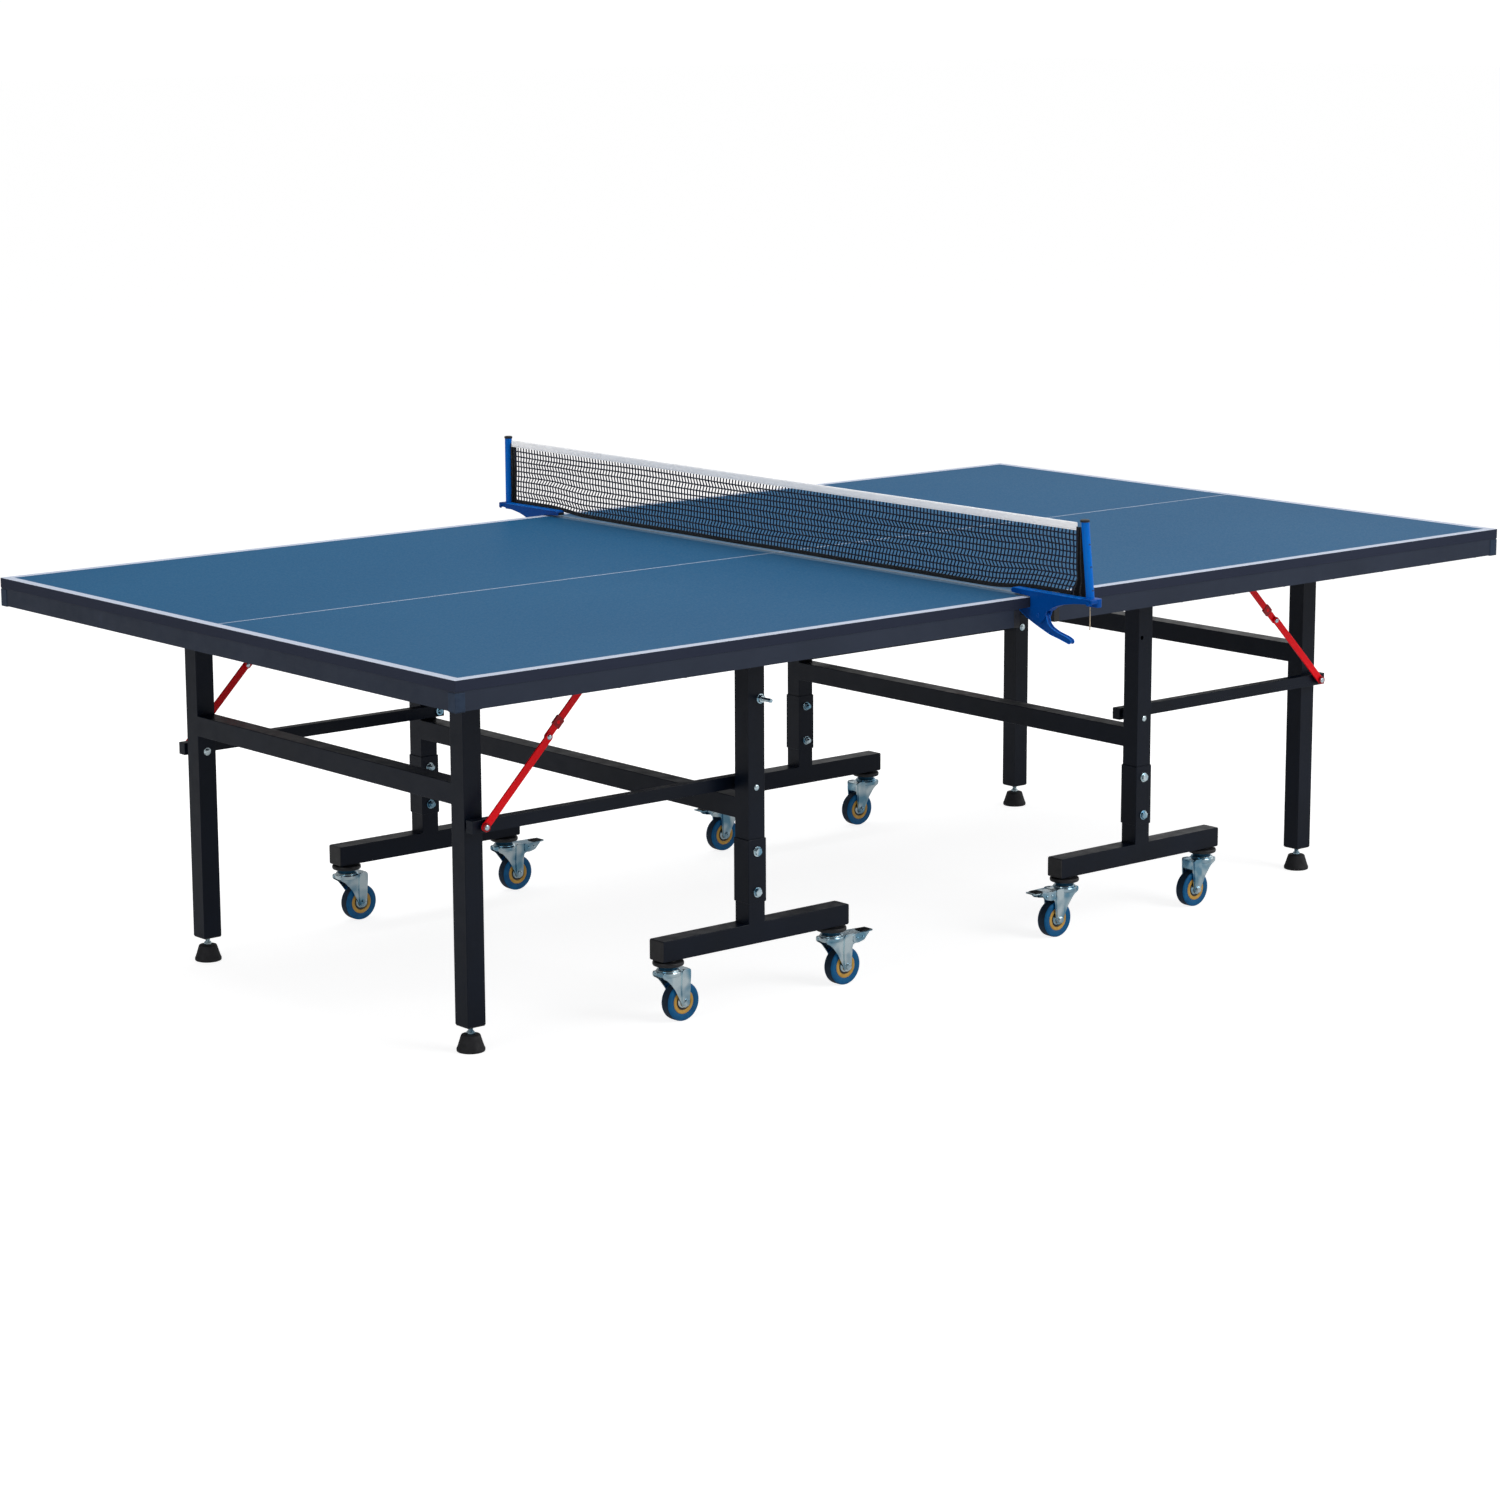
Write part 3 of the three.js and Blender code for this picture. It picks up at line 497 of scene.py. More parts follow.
def piece(name, shape, body, looks, signs=(1, 1), bevel=0.5, replaces=(), corner=28):
    """Makes the mesh object of a shape, mirrored by signs, and lets it ride on a body."""
    mesh = bpy.data.meshes.new(name)
    build = bmesh.new()
    points = [
        build.verts.new((x * signs[0] * MM, y * signs[1] * MM, z * MM)) for x, y, z in shape.points
    ]
    for face, mark in zip(shape.faces, shape.marks):
        made = build.faces.new([points[i] for i in face])
        made.material_index = mark
        made.smooth = True
    bmesh.ops.recalc_face_normals(build, faces=build.faces)
    build.to_mesh(mesh)
    build.free()
    for look in [looks] if isinstance(looks, str) else looks:
        mesh.materials.append(LOOKS[look])
    obj = add_object(name, mesh)
    if bevel:
        add_bevel(obj, bevel, corner)
    else:
        mesh.set_sharp_from_angle(angle=math.radians(corner))
    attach(obj, body)
    if replaces:
        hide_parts(*replaces)
    return obj


def add_bevel(obj, width, corner):
    """Rounds the edges whose corner is sharper than an angle in degrees."""
    bevel = obj.modifiers.new("bevel", "BEVEL")
    bevel.width = width * MM
    bevel.segments = 2
    bevel.limit_method = "ANGLE"
    bevel.angle_limit = math.radians(corner)
    bevel.harden_normals = True
    bevel.miter_outer = "MITER_ARC"
    return bevel


def dress(node, look, width):
    """Gives a CAD node its material and rounded edges, by modifiers alone."""
    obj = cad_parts[node]
    obj.data.materials.clear()
    obj.data.materials.append(LOOKS[look])
    weld = obj.modifiers.new("weld", "WELD")
    weld.merge_threshold = 0.02 * MM
    flat = obj.modifiers.new("flat", "DECIMATE")
    flat.decimate_type = "DISSOLVE"
    flat.angle_limit = math.radians(0.5)
    # Frame-shaped faces don't survive a bevel whole, so they are cut into triangles first.
    cut = obj.modifiers.new("cut", "TRIANGULATE")
    cut.min_vertices = 5
    add_bevel(obj, width, corner=32).harden_normals = False


# ---- Casters ----
# Half of each ring of the wheel, as (radius, distance from the wheel's middle plane).
TYRE = [(23.4, 10), (26.5, 11.2), (33.5, 12), (36, 11), (37.1, 9.2), (36.6, 8.2)]
TREAD = [(35, 8.1), (37.3, 8.3), (37.5, 6.5)]
AMBER_RING = [(15.8, 9), (16.5, 10.8), (17.6, 11.3), (22.2, 11.3), (23.5, 10.3)]
GRIP_RING = [(12.8, 9), (15.9, 9.6)]
HUB = [(4.5, 12.6), (8.6, 12.6), (9.4, 11), (12.1, 9.4), (12.8, 8)]
# The fork and the pedal seen from the side, as (distance behind the swivel's axis, height). The
# cheek of a braked caster has an ear that holds the pedal.
CHEEK_FRONT = (-25, 101)
BRAKED_EAR, PLAIN_EAR = [(44, 101), (62, 96), (66, 90), (62, 83), (42, 80)], [(42, 101), (42, 84)]
CHEEK_FOOT = [
    (39.5, 60), (38.5, 38), (35, 29.5), (28, 27), (21, 29.5), (17.5, 38),
    (4, 64), (-12, 84), (-25, 91),
]
CHEEK_RIB = [
    (20, 101.8), (40, 101.8), (38, 62), (36.5, 40), (34, 32.5), (28, 30),
    (22, 32.5), (19.5, 40), (18, 66),
]
CHEEK_IN, CHEEK_OUT, RIB_IN, RIB_OUT = 14, 16.4, 15, 19.2
PEDAL_FLANGE = [(40, 99.6), (84, 99.6), (76, 92), (70, 85), (52, 81), (42, 84)]
# Half of each plate seen from above, as (distance behind the swivel's axis, distance aside).
CROWN = [(-24, 16), (20, 17.5), (41, 17.5)]
PEDAL_TOP = [(40, 19), (58, 19), (74, 16.5), (97, 14)]
PEDAL_PAD = [(70, 11.5), (93.5, 10)]
# The swivel's lower race and its cup, as (radius, height).
RACE = [
    (0, 91), (22, 91), (24.5, 92.5), (25.2, 95), (25.2, 99), (24, 101), (22, 101.8),
    (22.5, 103), (21, 105), (0, 105),
]
CUP = [
    (0, 103.5), (15.5, 103.5), (18.2, 104.6), (18.6, 106.2), (17.4, 107.4), (17.6, 108.2),
    (19.4, 109.2), (19.4, 111.2), (0, 111.2),
]
STEM = [(0, 111), (5.3, 111), (5.3, 150), (0, 150)]
AXLE = [(0, -17), (3.9, -17), (3.9, 17), (0, 17)]


def caster_wheel(at, signs, prefix, node):
    """The tyre with its worn tread, the coloured ring, the dark ring and the hub."""
    centre = (at - TRAIL, CARRIAGE_Y, AXLE_Z)
    tyre = Shape().lathe(centre, "y", mirrored(TYRE), 64)
    tyre.lathe(centre, "y", mirrored(TREAD), 64, mark=1)
    ring = Shape().lathe(centre, "y", mirrored(AMBER_RING), 56)
    hub = Shape().lathe(centre, "y", mirrored(HUB), 40)
    hub.lathe(centre, "y", mirrored(GRIP_RING), 48, mark=1)
    looks = ["tyre", "tread"]
    piece(prefix + "_tyre", tyre, node, looks, signs, 0, [node], corner=40)
    piece(prefix + "_ring", ring, node, "amber", signs, bevel=0.3)
    piece(prefix + "_hub", hub, node, ["zinc", "grip"], signs, bevel=0.3)


def caster_fork(at, signs, prefix, node, braked):
    """Stamped cheeks with a raised rib, the domed crown with its race, and the axle bolt."""
    fork = Shape()
    cheek = [CHEEK_FRONT, *(BRAKED_EAR if braked else PLAIN_EAR), *CHEEK_FOOT]
    for side in (-1, 1):
        for outline, radius, near, far in (
            (cheek, 6, CHEEK_IN, CHEEK_OUT),
            (CHEEK_RIB, 5, RIB_IN, RIB_OUT),
        ):
            low, high = beside(CARRIAGE_Y, side, near, far)
            fork.prism([(at - u, z) for u, z in rounded(outline, radius)], "y", low, high)
        outside = (at - TRAIL, CARRIAGE_Y + side * RIB_OUT, AXLE_Z)
        fork.washer(outside, "y", side, radius=7.6, height=1)
        if side > 0:
            fork.hexagon(outside, "y", side, radius=6.8, height=3.4)
        else:
            fork.hexagon(outside, "y", side, radius=6.4, height=3, start=0.6)
            fork.thread(outside, "y", radius=3.2, start=-2.8, end=-4.6, pitch=0.8)
    crown = [(at - u, CARRIAGE_Y + v) for u, v in rounded(mirrored(CROWN), 8)]
    fork.prism(crown, "z", 98.4, 101)
    fork.lathe((at, CARRIAGE_Y, 0), "z", RACE, 44)
    fork.lathe((at - TRAIL, CARRIAGE_Y, AXLE_Z), "y", AXLE, 20)
    piece(prefix + "_fork", fork, node, "zinc", signs, 0.5, [node])
    cup = Shape().lathe((at, CARRIAGE_Y, 0), "z", CUP, 44)
    cup.lathe((at, CARRIAGE_Y, 0), "z", STEM, 24, mark=1)
    piece(prefix + "_cup", cup, node, ["cup", "zinc"], signs, bevel=0.3)


def brake_pedal(at, signs, prefix, node):
    """A stamped pedal with folded flanges, two rivets on each, and a rubber pad with ribs."""
    top = [(at - u, CARRIAGE_Y + v) for u, v in rounded(mirrored(PEDAL_TOP), 6)]
    pedal = Shape().prism(top, "z", 98, 100)
    flange_in, flange_out = 17, 18.9
    for side in (-1, 1):
        low, high = beside(CARRIAGE_Y, side, flange_in, flange_out)
        pedal.prism([(at - u, z) for u, z in rounded(PEDAL_FLANGE, 5)], "y", low, high)
        for u in (52, 66):
            foot = (at - u, CARRIAGE_Y + side * flange_out, 90.5)
            pedal.rivet(foot, "y", side, radius=3.6, height=1.9)
    lip = [(at - 96, CARRIAGE_Y + v, 99.6) for v in np.linspace(-12.5, 12.5, 7)]
    pedal.sweep(lip, [(-1, -1.4), (1, -1.4), (1, 1.6), (0, 2.2), (-1, 1.6)])
    piece(prefix + "_pedal", pedal, node, "zinc", signs, 0.4, [node])
    pad_outline = [(at - u, CARRIAGE_Y + v) for u, v in rounded(mirrored(PEDAL_PAD), 5)]
    pad = Shape().prism(pad_outline, "z", 99.6, 101.6)
    for u in range(73, 93, 4):
        low, high = (at - u - 0.9, CARRIAGE_Y - 8, 101.4), (at - u + 0.9, CARRIAGE_Y + 8, 102.3)
        pad.block(low, high)
    piece(prefix + "_pedal_pad", pad, node, "rubber", signs, 0.4)


# ---- Frame fittings of one side of a half ----
# The rubber foot and the disc over each caster, as (radius, height).
FOOT = [
    (0, 0), (24.6, 0), (25.9, 0.6), (26.5, 2), (26.5, 5.4), (26, 6.8), (25, 8.6), (22.2, 17),
    (19.4, 26), (18.2, 30), (17, 31.6), (14.5, 32.2), (9.5, 32.2), (9, 31.2), (0, 31.2),
]
CASTER_DISC = [
    (5.8, 111.6), (27, 111.6), (29, 112.6), (29.9, 114.6), (29.9, 117.6), (29, 119.6),
    (27, 120.6), (19, 121.2), (17.5, 122.9), (5.8, 122.9),
]
LEG_RING = [(6.2, 45.6), (9, 45.6), (9.6, 46.4), (9.6, 48.6), (6.2, 48.6)]
PLUG_HALF = 19.6
CATCH_FROM, CATCH_TO, CATCH_HALF = 24, 44, 9.4
CATCH_Y = (490.8, 495.9)


def levelling_foot(signs, prefix, node):
    """The rubber cone, its lock nut and washer, and the threaded rod."""
    rubber = Shape().lathe((LEG_X, LEG_Y, 0), "z", FOOT, 48)
    name = prefix + "_foot"
    piece(name, rubber, node, "rubber", signs, 0, [node], corner=40)
    rod = Shape().hexagon((LEG_X, LEG_Y, 31), "z", 1, radius=8.4, height=5.6)
    rod.washer((LEG_X, LEG_Y, 36.6), "z", 1, radius=7, height=1.2)
    rod.thread((LEG_X, LEG_Y, 0), "z", radius=4.9, start=37, end=108)
    piece(prefix + "_foot_rod", rod, node, "zinc", signs, bevel=0.25)


def on_upper_stay(distance, aside=0.0):
    """A point so far from the knee along the upper bar, and so far to its side."""
    ahead = Vector((STAY_TOP_PIVOT[0] - KNEE[0], STAY_TOP_PIVOT[1] - KNEE[1])).normalized()
    across = Vector((-ahead.y, ahead.x))
    return tuple(Vector(KNEE) + ahead * distance + across * aside)


def stays(signs, half, prefix):
    """The folding stay: two enamelled bars, the catch on the upper one, and the rivets."""
    def at(pivot, y):
        return (pivot[0], y, pivot[1])

    lower_body, upper_body = prefix + "_stay_lower", prefix + "_stay_upper"
    lower = Shape().prism(bar_outline(LEG_LINK_PIVOT, KNEE, 15.5), "y", *STAY_LOWER_Y)
    name = prefix + "_lower_bar"
    piece(name, lower, lower_body, "red", signs, 0.9, [lower_body])
    knee = Shape().rivet(at(KNEE, STAY_LOWER_Y[1]), "y", 1, radius=5.2, height=2.4)
    knee.rivet(at(KNEE, STAY_UPPER_Y[0]), "y", -1, radius=4.6, height=1.2)
    piece(prefix + "_knee_rivet", knee, lower_body, "zinc", signs, bevel=0)

    upper = Shape().prism(bar_outline(KNEE, STAY_TOP_PIVOT, 14), "y", *STAY_UPPER_Y)
    # The catch stays thin enough for the lower bar to swing past it.
    catch = [
        on_upper_stay(distance, aside)
        for distance, aside in rectangle(CATCH_FROM, -CATCH_HALF, CATCH_TO, CATCH_HALF)
    ]
    upper.prism(rounded(catch, 1.5), "y", *CATCH_Y, mark=1)
    catch_rivet = at(on_upper_stay((CATCH_FROM + CATCH_TO) / 2), CATCH_Y[1] - 0.1)
    upper.rivet(catch_rivet, "y", 1, radius=4.2, height=0.2)
    name, looks = prefix + "_upper_bar", ["red", "dark_red"]
    piece(name, upper, upper_body, looks, signs, 0.9, [upper_body])

    # A rivet at each end of the stay sits on a collar, which covers the head of the model's pin.
    looks = ["zinc", "dark_red"]
    leg_rivet = Shape().rivet(at(LEG_LINK_PIVOT, 503.8), "y", 1, radius=5.4, height=1.9)
    leg_rivet.washer(at(LEG_LINK_PIVOT, 500.5), "y", 1, radius=8.4, height=3.3, mark=1)
    name = prefix + "_leg_link_rivet"
    piece(name, leg_rivet, half + "_end_legs", looks, signs, bevel=0)
    top_rivet = Shape().rivet(at(STAY_TOP_PIVOT, 498.2), "y", 1, radius=4.8, height=1.8)
    top_rivet.washer(at(STAY_TOP_PIVOT, 495.4), "y", 1, radius=7.4, height=2.9, mark=1)
    name = prefix + "_stay_top_rivet"
    piece(name, top_rivet, half + "_top", looks, signs, bevel=0)


def foot_fittings(signs, half, prefix):
    """What is fixed to the T-shaped foot and the upright above it."""
    body = half + "_carriage"
    plugs = Shape()
    near, far = CARRIAGE_Y - PLUG_HALF, CARRIAGE_Y + PLUG_HALF
    face = rounded(rectangle(near, BEAM_BOTTOM + 0.4, far, BEAM_TOP - 0.4), 3)
    for end, out in ((BEAM_FROM, -1), (BEAM_TO, 1)):
        plugs.prism(face, "x", *beside(end, out, -1, 1.8))
    piece(prefix + "_beam_plugs", plugs, body, "plastic", signs, bevel=0.8)
    discs = Shape()
    for at in CASTER_AT.values():
        discs.lathe((at, CARRIAGE_Y, 0), "z", CASTER_DISC, 48)
    piece(prefix + "_caster_discs", discs, body, "plastic", signs, bevel=0)

    bolts = Shape()
    outer, inner = CARRIAGE_Y + SLEEVE_HALF, CARRIAGE_Y - SLEEVE_HALF
    for z in SLEEVE_BOLTS:
        bolts.washer((CARRIAGE_X, outer, z), "y", 1, radius=10, height=1.6)
        bolts.hexagon((CARRIAGE_X, outer + 1.5, z), "y", 1, radius=8.2, height=4.6)
        bolts.washer((CARRIAGE_X, inner, z), "y", -1, radius=9.6, height=1.4)
        bolts.hexagon((CARRIAGE_X, inner - 1.3, z), "y", -1, radius=8.4, height=5.6)
        bolts.thread((CARRIAGE_X, 0, z), "y", radius=4.7, start=inner - 6.5, end=inner - 12.4)
    piece(prefix + "_sleeve_bolts", bolts, body, "zinc", signs, bevel=0.35)

    outside = CARRIAGE_Y + HALF_TUBE
    rivet = Shape().rivet((CARRIAGE_X, outside, LINK_Z - 2), "y", 1, radius=6.2, height=2.4)
    rivet.washer((CARRIAGE_X, 469.4, LINK_Z), "y", -1, radius=9.4, height=3.4)
    rivet.rivet((CARRIAGE_X, 466.1, LINK_Z), "y", -1, radius=5.8, height=1.8)
    piece(prefix + "_link_rivets", rivet, body, "zinc", signs, bevel=0)
    x, z = TOP_PIVOT
    pivot = Shape().hexagon((x, 498.2, z), "y", -1, radius=9, height=4.4)
    pivot.washer((x, outside, z), "y", 1, radius=8, height=1.2)
    pivot.rivet((x, outside + 1, z), "y", 1, radius=6.4, height=3)
    piece(prefix + "_top_pivot_bolt", pivot, body, "zinc", signs, bevel=0.3)


def leg_fittings(signs, half, prefix):
    """The end leg's plug with its ring, and the bolts of its two pivots."""
    body = half + "_end_legs"
    square = rectangle(LEG_X - PLUG_HALF, LEG_Y - PLUG_HALF, LEG_X + PLUG_HALF, LEG_Y + PLUG_HALF)
    plug = Shape().prism(rounded(square, 3), "z", 48.2, 50.6)
    plug.lathe((LEG_X, LEG_Y, 0), "z", LEG_RING, 28)
    piece(prefix + "_leg_plug", plug, body, "plastic", signs, bevel=0.7)
    inside = LEG_Y - HALF_TUBE
    x, z = LEG_TOP_PIVOT
    bolt = Shape().hexagon((x, 469.4, z), "y", 1, radius=8.6, height=4.2)
    bolt.washer((x, inside, z), "y", -1, radius=8, height=1.2)
    bolt.rivet((x, inside - 1, z), "y", -1, radius=6.4, height=3)
    bolt.washer((LEG_X, inside, LINK_Z), "y", -1, radius=8, height=1.2)
    bolt.rivet((LEG_X, inside - 1, LINK_Z), "y", -1, radius=6.2, height=2.4)
    piece(prefix + "_leg_pivot_bolts", bolt, body, "zinc", signs, bevel=0.3)


def apron_fittings(signs, half, prefix):
    """Corner cover, the cap where the side channel ends at the net, and the screws below."""
    body = half + "_top"
    wrap, proud, sunk = 21, 1.0, 0.5
    out_x, out_y = APRON_FACE_X + proud, APRON_FACE_Y + proud
    cover_outline = [
        (out_x - wrap, out_y),
        (out_x, out_y),
        (out_x, out_y - wrap),
        (APRON_FACE_X - sunk, out_y - wrap),
        (APRON_FACE_X - sunk, APRON_FACE_Y - sunk),
        (out_x - wrap, APRON_FACE_Y - sunk),
    ]
    cover = Shape().prism(cover_outline, "z", APRON_BOTTOM - 1.2, BOARD_BOTTOM - 2.2)
    bottom = [*cover_outline[:3], (out_x - wrap, out_y - wrap)]
    cover.prism(rounded(bottom, 2), "z", APRON_BOTTOM - 1.4, APRON_BOTTOM + 0.5)
    piece(prefix + "_corner_cover", cover, body, "corner", signs, bevel=0.6)
    cap = Shape().block(
        (APRON_NET_END - 1.2, APRON_FACE_Y - 20.5, APRON_BOTTOM - 0.6),
        (APRON_NET_END + 13, APRON_FACE_Y + 0.7, BOARD_BOTTOM - 2.4),
    )
    piece(prefix + "_apron_cap", cap, body, "plastic", signs, bevel=0.7)
    screws = Shape()
    spacing, inset = 150, 9
    places = [(x, APRON_FACE_Y - inset) for x in range(110, 1330, spacing)]
    places += [(APRON_FACE_X - inset, y) for y in range(75, 740, spacing)]
    for x, y in places:
        screws.rivet((x, y, APRON_BOTTOM), "z", -1, radius=4.2, height=2.1)
        # The cross slot is two dark bars, a painted shade of its recess, one a little lower, so that
        # their faces don't meet.
        for across, along, depth in ((2.4, 0.4, 2.35), (0.4, 2.4, 2.3)):
            low = (x - across, y - along, APRON_BOTTOM - depth)
            screws.block(low, (x + across, y + along, APRON_BOTTOM - 1.6), mark=1)
    name = prefix + "_apron_screws"
    piece(name, screws, body, ["zinc", "plastic"], signs, bevel=0)


def lock_stud():
    """The threaded stud with its nut on the near post of the left carriage."""
    node = "left_near_lock_stud"
    x, z = STUD_AT
    face = CARRIAGE_Y + HALF_TUBE
    stud = Shape().washer((x, face + 0.2, z), "y", 1, radius=9.6, height=1.4)
    stud.hexagon((x, face + 1.4, z), "y", 1, radius=8, height=5.8)
    stud.thread((x, 0, z), "y", radius=4, start=face + 7, end=face + 31.6)
    signs = (HALVES["left"], SIDES["near"])
    piece("left_near_stud", stud, "left_carriage", "zinc", signs, 0.3, [node])


# ---- Net ----
POST_CAP = [(0, 915), (8.7, 915), (9, 916), (9, 918.6), (8.3, 919.6), (7, 920), (0, 920)]
POST_HOLES = (787, 831, 873)
HOLE = [(0, -1), (2.3, -1), (2.3, 0.35), (1.7, 0.3), (0, 0.1)]
# The clamp seen from the side, as (distance from the table's middle line, height).
ARM = [
    (711, 764), (711, 772), (717, 774), (905, 773), (927, 773), (927, 764), (905, 763),
    (880, 760.5), (852, 756), (836, 751.5), (822, 746), (812, 738), (764, 738), (764, 761.5),
]
ARM_RIM = [(712.5, 771), (717.5, 774.2), (899, 773.4), (899, 771.6), (718, 772.2), (713.5, 769.4)]
CLAMP_EAR = [(764, 744), (810, 744), (804, 728), (798, 718), (790, 712), (770, 718), (764, 724)]
LEVER = [
    (730, 739.2), (730, 732.5), (748, 722), (765, 714), (787, 705), (814, 694.8), (841, 689),
    (860, 683.8), (866, 682.5), (869.5, 685.5), (868, 689.5), (857, 694), (834, 699),
    (816, 706), (806, 715), (803.5, 726), (797, 735.5), (766, 737.4),
]
LEVER_RIM = 1.6
# The post's socket as (x, y), and the dark plate on the arm's end, painted shade for its end face, as
# (x, z).
SOCKET = [(CLAMP_TO - 1, 896.5), (8, 896.5), (12, 901), (12, 921), (8, 927), (CLAMP_TO - 1, 927)]
ARM_END_SHADE = rectangle(-18.4, 764.6, -4.6, 771)


def post_y(side, z):
    """The middle of a net post at a height, as a distance from the table's middle line."""
    foot, lean = POSTS[side]
    return foot - lean * (z - POST_BOTTOM) / (POST_TOP - POST_BOTTOM)


def net_post(side):
    """The round post with its cap and holes, the clamp arm, and the small screws."""
    signs = (1, SIDES[side])
    heights = np.linspace(POST_BOTTOM, POST_TOP - 3.4, 12)
    path = [(0, post_y(side, z), z) for z in heights]
    post = Shape().sweep(path, circle(POST_RADIUS, 36))
    name, node = side + "_post_tube", side + "_net_post"
    piece(name, post, "left_top", "bright_blue", signs, 0.4, [node])
    cap = Shape().lathe((0, post_y(side, POST_TOP), 0), "z", POST_CAP, 40)
    # Each hole is a shallow black disc on the post, a painted shade of its dark inside.
    for z in POST_HOLES:
        cap.lathe((0, post_y(side, z) + POST_RADIUS - 0.25, z), "y", HOLE, 16)
    piece(side + "_post_cap", cap, "left_top", "plastic", signs, bevel=0.2)

    arm = Shape().prism(rounded(ARM, 5), "x", CLAMP_FROM, CLAMP_TO)
    # The rim along the top of the arm takes the paler post blue: a painted highlight along its edge.
    arm.prism(ARM_RIM, "x", CLAMP_FROM - 0.6, CLAMP_TO, mark=1)
    # The ears stand 0.4 mm proud, so that their faces don't meet the arm's.
    ear = rounded(CLAMP_EAR, 3)
    arm.prism(ear, "x", CLAMP_FROM - 0.4, CLAMP_FROM + 3)
    arm.prism(ear, "x", CLAMP_TO - 3, CLAMP_TO + 0.4)
    arm.prism(rounded(SOCKET, 4), "z", 757, 773)
    # The black plate on the arm's end face is painted shade, standing in for that face in shade.
    arm.prism(rounded(ARM_END_SHADE, 1.5), "y", 710.4, 713, mark=2)
    looks = ["blue", "bright_blue", "plastic"]
    piece(side + "_clamp_arm", arm, "left_top", looks, signs, bevel=0.6)
    fixings = Shape()
    fixings.rivet((CLAMP_FROM - 0.2, *LEVER_PIVOT), "x", -1, radius=4.4, height=2)
    fixings.rivet((CLAMP_TO + 0.2, *LEVER_PIVOT), "x", 1, radius=4.4, height=1.6)
    fixings.hexagon((CLAMP_FROM, 919, 765), "x", -1, radius=4.6, height=3)
    piece(side + "_clamp_fixings", fixings, "left_top", "blue", signs, bevel=0.2)


def clamp_lever(side):
    """The cast lever: a solid web with a raised rim on both faces."""
    node = side + "_clamp_lever"
    smooth = rounded(LEVER, 6)
    lever = Shape().prism(smooth, "x", CLAMP_FROM + 4.2, CLAMP_TO - 4.2)
    line = np.array(smooth)
    count = len(line)
    inward = []
    for i in range(count):
        ahead = Vector(line[(i + 1) % count] - line[i - 1]).normalized()
        inward.append((line[i][0] + ahead.y * LEVER_RIM, line[i][1] - ahead.x * LEVER_RIM))
    # A rim's section has four corners, and each corner has its own loop of points.
    corners = (0, count, 3 * count, 2 * count)
    faces = []
    for i in range(count):
        j = (i + 1) % count
        for a, b in zip(corners, corners[1:] + corners[:1]):
            faces.append([a + i, a + j, b + j, b + i])
    for span in ((CLAMP_FROM + 3.4, CLAMP_FROM + 5), (CLAMP_TO - 5, CLAMP_TO - 3.4)):
        lever.put([(x, y, z) for x in span for y, z in [*smooth, *inward]], faces, mark=1)
    # The rims take the paler post blue: a painted highlight along the lever's outline.
    name, looks, signs = side + "_lever", ["blue", "bright_blue"], (1, SIDES[side])
    piece(name, lever, node, looks, signs, 0.35, [node], corner=35)


COLUMNS, ROWS, STRAND = 178, 11, 1.55
# How far the knots stray along the net, by slow waves and by turns, and upwards.
SWAY, ZIGZAG, KNOT_LIFT = 4.2, 2.4, 1.3
HEM_SECTION = [(-1.3, -4), (1.3, -4), (1.9, 0), (1.3, 4), (-1.3, 4), (-1.9, 0)]
# Where the netting ends in its sleeve, as (height, distance from the middle line), and the sleeve
# is bunched below.
SLEEVE_INNER = {
    "near": [(764, 852), (775, 854), (785, 859), (791, 863), (804, 868), (822, 866), (898, 865)],
    "far": [(764, 886), (780, 888), (845, 885), (898, 886)],
}
SLEEVE_ROWS, SLEEVE_ACROSS, SLEEVE_CLOTH = 44, 30, 0.55


def sleeve_inner(side, z):
    heights, places = zip(*SLEEVE_INNER[side])
    return float(np.interp(z, heights, places))


def net_lift(y):
    """How much the netting's foot rises where it passes over the clamp arms."""
    share = min(1, max(0, (abs(y) - 630) / 140))
    return 8.5 * share * share * (3 - 2 * share)


def net_knot(i, j):
    """One knot: straight rows of cells in the middle, drawn askew towards the ends."""
    low, high = NET_BOTTOM + 5, TAPE_BOTTOM + 2
    t = i / COLUMNS
    z = low + (high - low) * j / ROWS
    start, end = -sleeve_inner("near", z) - 3, sleeve_inner("far", z) + 3
    y = start + (end - start) * t
    ends = 0.35 + 0.65 * abs(2 * t - 1) ** 1.5
    held = math.sin(math.pi * min(1, 12 * t, 12 * (1 - t)) / 2)
    edge = 0 if j in (0, ROWS) else 1
    sway = math.sin(1.35 * j + 2.6 * math.sin(5.2 * t + 0.4)) + 0.5 * math.sin(2.9 * j + 9 * t)
    zigzag = (-1) ** j * (0.75 + 0.25 * math.sin(11 * t + 0.7 * j))
    y += (SWAY * sway * ends + ZIGZAG * zigzag) * held * edge
    bulge = 0.5 * math.sin(7 * t + 1.1 * j) * edge
    lift = KNOT_LIFT * math.sin(17 * t + 0.8 * j) * edge * held
    return (bulge, y, z + lift + net_lift(y) * (1 - j / ROWS))


def net_strands():
    """Knotted netting, a cord along each column and each row of knots."""
    knots = np.array([[net_knot(i, j) for j in range(ROWS + 1)] for i in range(COLUMNS + 1)])
    net = Shape()
    section = circle(STRAND, 5)
    for i in range(COLUMNS + 1):
        net.sweep(knots[i], section)
    for j in range(1, ROWS):
        net.sweep(knots[:, j], section)
    return net


